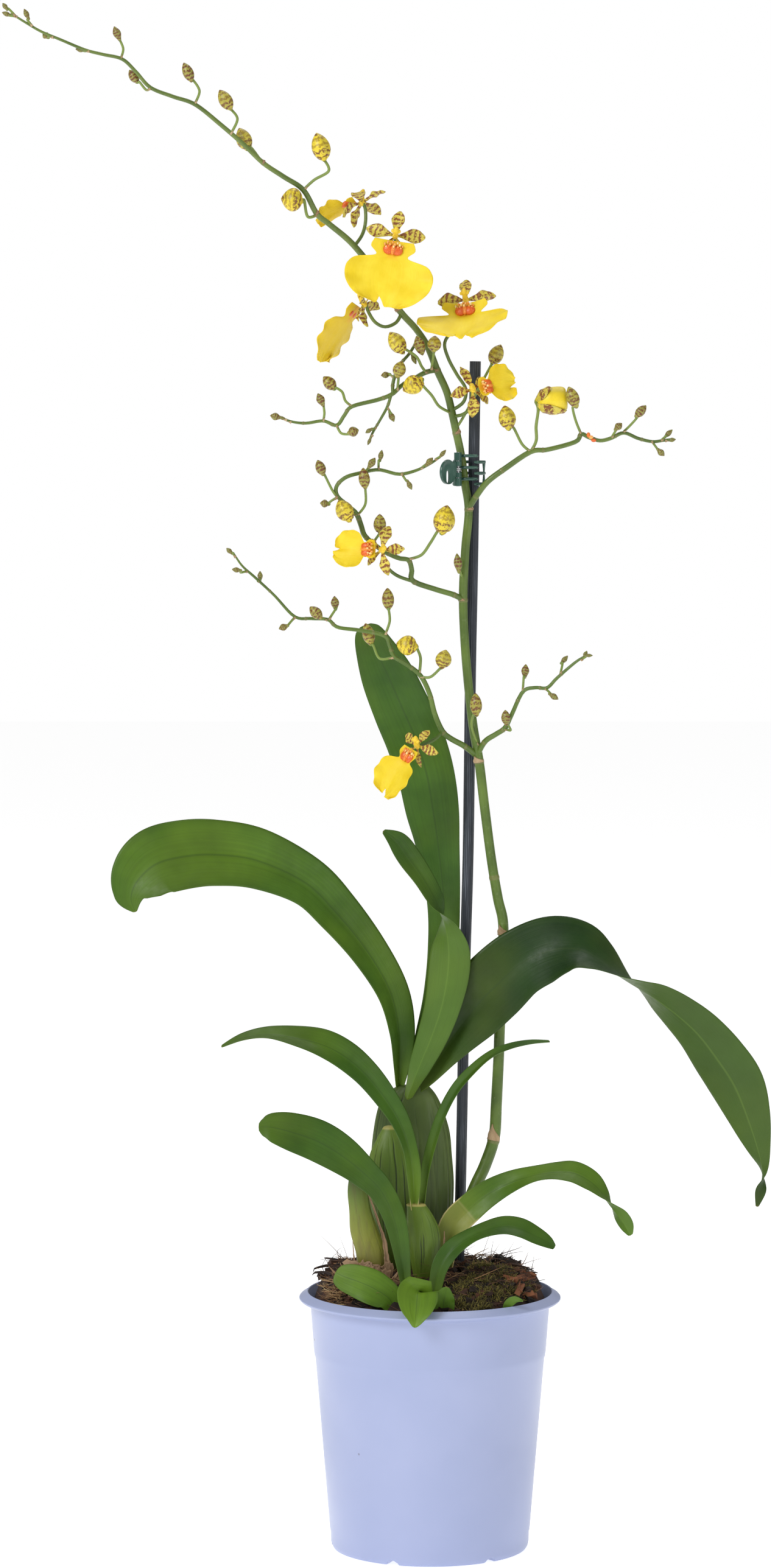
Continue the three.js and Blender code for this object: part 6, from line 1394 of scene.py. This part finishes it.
# The lip down from the column: (distance, half width), its claw first and then its blade.
LIP = [
    (2.4, 9.0), (6, 10.2), (9.6, 7.4), (12, 16.2), (15, 19.4), (18, 20.3), (21, 20.0), (24, 18.8),
    (27, 16.4), (30, 12.6), (32.4, 7.4)
]
LIP_CLAW = 2  # the row of the lip where its blade begins
COLUMN_PATH = [
    (0, -0.6, -1.8, 0.5), (0, -0.3, -0.6, 1.25), (0, 0.3, 1.0, 1.35), (0, 1.2, 2.5, 1.15),
    (0, 2.2, 3.7, 1.3), (0, 3.0, 4.4, 1.05), (0, 3.5, 4.7, 0.2)
]
# Warts on the crest: (x, y, z, size).
WARTS = [
    (-3.9, -4.3, 3.2, 0.62), (-2.8, -3.7, 3.8, 0.7), (-1.5, -4.2, 4.4, 0.72), (-0.5, -3.3, 4.5, 0.6),
    (0.6, -4.0, 4.7, 0.7), (1.6, -3.5, 4.2, 0.66), (2.7, -4.1, 3.9, 0.72), (3.8, -4.5, 3.2, 0.6),
    (-2.2, -5.1, 4.1, 0.55), (2.1, -5.2, 4.1, 0.55), (0, -5.1, 4.9, 0.62), (-3.2, -5.4, 3.6, 0.5),
    (3.3, -5.5, 3.6, 0.5)
]


def set_in_bloom(patches, centre, facing, dorsal):
    """Patches carried from the flower's own frame, x to its right, y to its top and z to its front, to
    where the flower stands."""
    front = unit(facing)
    right = unit(np.cross(np.array(dorsal, float), front))
    turn = np.stack([right, np.cross(front, right), front])
    return [(points @ turn + np.array(centre, float), faces, marks) for points, faces, marks in patches]


def tepal(angle, length, half_width, bend, size, draw):
    """A sepal or petal: reach = 0.9 + (length - 0.9) s ** 0.8 out along its own direction, bending back
    by bend * s * s, with a wavy margin, a low fold along its middle, and a drawn twist and sway."""
    s, v = sheet_grid(33, 19)
    turn = math.radians(angle)
    out, side = np.array([math.sin(turn), math.cos(turn), 0]), np.array([math.cos(turn), -math.sin(turn), 0])
    reach = 0.9 + (length * size - 0.9) * s ** 0.8
    wide = spline([(0.18,), (0.68,), (1.1,), (0.9,), (0.3,)], s)[..., 0]
    wide = wide * (1 - 0.55 * np.clip((s - 0.9) / 0.1, 0, 1) ** 2)
    half = 0.9 * half_width * size * wide
    wave = 0.42 * size * np.abs(v) ** 3 * np.sin(15 * s + draw.uniform(0, 6) + 1.5 * np.sign(v))
    rib = -0.16 * np.exp(-(v / 0.12) ** 2)
    twist, sway = draw.uniform(-0.7, 0.7) * s, 0.9 * size * draw.uniform(-1, 1) * s * s
    z = -bend * s * s + 0.2 * half * v * v - 0.4 + wave + rib
    points = (reach[..., None] * out + (half * v * np.cos(twist) + sway)[..., None] * side
              + (z + half * v * np.sin(twist))[..., None] * np.array([0, 0, 1.0]))
    return sheet(points, 0.34 * (1 - 0.5 * np.abs(v) ** 3), s, v, 0, draw.uniform(0, 0.8))


def lip_blade(length_scale, width_scale, curl, bend, draw):
    """The lip: claw and side lobes, then the blade, as the part's own rule sets them out, with a frill
    that grows towards the margin and shallow folds fanning from the claw."""
    s, v = sheet_grid(65, 57)
    found = spline(LIP, s)
    below, half = found[..., 0], found[..., 1]
    width = half * width_scale / curl
    split = -0.27 + 0.05 * np.sin(draw.uniform(0, 6, 3)[2])
    notch = 6 * s ** 9 * np.exp(-((v - split) / 0.15) ** 2) + 2.2 * s ** 8 * np.maximum(0, -v)
    top, claw = LIP[0][0], np.minimum(below, LIP[LIP_CLAW][0])
    open_blade = (below - claw - notch) * length_scale
    phase = draw.uniform(0, 6, 3)
    frill = 0.75 * np.abs(v) ** 4 * np.sin(23 * s + phase[0] + 2 * np.sign(v)) * np.clip(3 * s - 0.6, 0, 1)
    frill += 0.7 * s ** 6 * np.sin(9 * v + phase[1]) + 0.25 * s ** 8 * np.sin(23 * v + phase[2])
    fan = 0.16 * np.sin(9 * v + 2 * np.sin(3 * v) + phase[2]) * np.clip(2.5 * s - 1, 0, 1) * (1 - np.abs(v))
    forward = width * (1 - np.cos(curl * v)) + 0.7 * np.sin(5 * v) * s * s + frill + fan
    x = width * np.sin(curl * v)
    y = -top - (claw - top) * length_scale - open_blade * math.cos(bend) + forward * math.sin(bend)
    z = 1.8 + np.sin(np.pi * s) + open_blade * math.sin(bend) + forward * math.cos(bend)
    thickness = 0.4 * (1 - 0.55 * np.maximum(np.abs(v), np.clip(2 * s - 1, 0, 1)) ** 4)
    return sheet(np.stack([x, y, z], -1), thickness, s, v, 0, 0.2)


def ball(centre, radii, tone, sides, rings, third=0.0, along=0.0):
    """An ellipsoid."""
    lift = np.linspace(-0.49, 0.49, rings)[:, None] * np.pi
    angle = circle(sides)
    x, y, z = np.cos(lift) * np.cos(angle), np.cos(lift) * np.sin(angle), np.sin(lift) + 0 * angle
    return loft(np.array(centre) + np.stack([x, y, z], -1) * np.array(radii), along, 0, third, tone)


def crest(draw, spread):
    """The crest on the claw: two broad orange cushions with a ridge between them, and a row of pale
    warts like teeth along their upper edge."""
    found = [ball((x * spread, -6.6, 3.0), (2.5 * spread, 2.3, 1.35), 0.12, 28, 15, 1) for x in (-2.0, 2.0)]
    found.append(ball((0, -6.4, 3.7), (1.0, 2.6, 1.2), 0.45, 20, 11, 1))
    for x, y, z, size in WARTS:
        centre = np.array([x * spread, y, z]) + draw.uniform(-0.15, 0.15, 3)
        found.append(ball(centre, (size * 0.8, size, size), draw.uniform(0.45, 1.0), 12, 8, 1))
    return found


tepal_skin, tree = new_material("barred sepal")
_, across, _, tone = run_marks(tree)
wash, grain = uneven(tree, 160.0)
lines = streaks(tree, 7.0, 2.0)
plain = between(tree, tone, 0.85, 0.95)
colour = painted(
    tree, blend(tree, wash, (200, 184, 64), (220, 202, 84)),
    (between(tree, work(tree, "ABSOLUTE", across), 0.5, 1.0, 0, 0.4), (176, 168, 66)),  # duller margins
    (times(tree, lines, 0.16), (150, 132, 40)),  # veins
    (plain, (230, 196, 44)),  # the column and its cap
    (times(tree, barred(tree, 4.6, 340.0, 1.0), between(tree, plain, 0, 1, 0.92, 0.08)), (116, 46, 20)))
relief = work(tree, "MULTIPLY_ADD", lines, 0.4, grain)
finish_material(tree, Base_Color=colour, Roughness=grained(tree, grain, 0.42, 0.55),
                Normal=raised(tree, relief, 0.3, 0.0002), Subsurface_Weight=0.12,
                Subsurface_Radius=(0.004, 0.002, 0.0008))

lip_skin, tree = new_material("yellow lip")
along, across, face, _ = run_marks(tree)
wash, grain = uneven(tree, 120.0)
lines = streaks(tree, 22.0, 2.0)
near_crest = times(tree, between(tree, along, 0.16, 0.3, 1, 0),
                   between(tree, work(tree, "ABSOLUTE", across), 0.1, 0.42, 1, 0))
colour = painted(
    tree, blend(tree, wash, (224, 195, 32), (236, 212, 58)),
    (times(tree, lines, 0.08), (214, 178, 34)),  # veins
    (between(tree, face, -1, 0, 0.5, 0), (214, 176, 28)),  # the back
    (times(tree, near_crest, 0.45), (226, 140, 36)))
relief = work(tree, "MULTIPLY_ADD", lines, 0.5, grain)
finish_material(tree, Base_Color=colour, Roughness=grained(tree, grain, 0.44, 0.56), Specular_IOR_Level=0.2,
                Normal=raised(tree, relief, 0.25, 0.0002), Subsurface_Weight=0.15,
                Subsurface_Radius=(0.004, 0.003, 0.0008))

crest_skin, tree = new_material("orange-red crest")
tone = run_marks(tree)[3]
grain = uneven(tree, 420.0)[1]
mixed = work(tree, "ADD", tone, between(tree, grain, 0.35, 0.65, -0.25, 0.25))
red = ramp(tree, mixed, (0.0, 206, 82, 24), (0.3, 226, 108, 34), (0.65, 234, 158, 62), (1.0, 244, 226, 160))
finish_material(tree, Base_Color=red, Roughness=0.34, Normal=raised(tree, grain, 0.3, 0.0002))

for number, (centre, facing, dorsal, size, lip_shape, stalk) in enumerate(BLOOMS, 1):
    draw = np.random.default_rng(100 + number)
    name, stand = f"bloom_{number}", (centre, facing, dorsal)
    star = [tepal(*row, size, draw) for row in TEPALS]
    star.append(tube(COLUMN_PATH, 24, 40, 0, 1))
    star += [ball((x, 1.9, 3.6), (0.9, 1.0, 0.5), 1, 14, 9, along=0.5) for x in (-1.3, 1.3)]
    star.append(ball((0, 3.1, 4.7), (0.85, 0.8, 0.7), 1, 16, 10, along=0.5))
    make_piece(name + "_sepals_and_petals", set_in_bloom(star, *stand), tepal_skin, "petal", name + "_petals")
    points = [np.array(centre, float) - unit(facing)] + stalk[::-1]  # the stalk starts just inside the bloom
    radii = np.linspace(0.75, 0.8, len(points))
    fine_stalk = stalk_tube([(*point, radius) for point, radius in zip(points, radii)], 12, 1.2)
    make_piece(name + "_stalk", [fine_stalk], stem_skin, "stem")
    blade = set_in_bloom([lip_blade(*lip_shape, draw)], *stand)
    make_piece(name + "_lip_blade", blade, lip_skin, "lip", name + "_lip")
    warts = set_in_bloom(crest(draw, 0.55 + 0.45 * lip_shape[1]), *stand)
    make_piece(name + "_crest", warts, crest_skin, "lip")

# The bud that is opening: its barred sepals still lie on its yellow barrel, and a withered flower's stump
# is left on the same twig.
OPENING_TIP, OPENING_BASE, OPENING_RADIUS = np.array([62, 6, 527.5]), np.array([48.5, 6, 526]), 6.1
# Each sepal's side of the barrel, the share of the barrel that it covers, and its spread angle.
HUGGING = [((0.0, -0.5, -1.0), 0.95, 0.9), ((0.0, -0.6, 1.0), 0.5, 0.95), ((0.0, 1.0, 0.2), 0.8, 0.9)]
# The stump's three lumps: centre, radii and tone.
STUMP = [
    ((71.8, 4.4, 511.0), (0.9, 0.8, 1.3), 0.3), ((73.0, 4.2, 510.0), (1.1, 0.9, 0.9), 0.7),
    ((74.2, 4.4, 508.6), (1.2, 0.8, 0.8), 0.1)
]


def hugging_sepal(out, reach, spread):
    """A sepal on the opening bud's barrel: its own radius and 0.3 more, over the spread angle, drawn to a
    point at the share of the barrel's length that it reaches."""
    barrel = OPENING_TIP - OPENING_BASE
    axis, out = unit(barrel), np.array(out, float)
    s, v = sheet_grid(31, 21)
    share = 1 - reach * s
    away = OPENING_RADIUS * np.interp(share, *zip(*OPENING)) + 0.3
    away = away + 0.5 * s ** 4 + 0.12 * np.sin(11 * s + 3 * v)
    angle = v * spread * (1 - s ** 2.6)
    facing = unit(out - axis * (axis @ out))
    points = (OPENING_BASE + barrel * (1 - share)[..., None] + (np.cos(angle) * away)[..., None] * facing
              + (np.sin(angle) * away)[..., None] * np.cross(axis, facing))
    return sheet(points, np.full(s.shape, 0.3), s * 0.4, v, 0, 0.5)


make_piece("opening_bud_sepals", [hugging_sepal(*row) for row in HUGGING], tepal_skin, "petal")
make_piece("withered_stump", [ball(*row, 14, 9, 1) for row in STUMP], crest_skin, "petal")
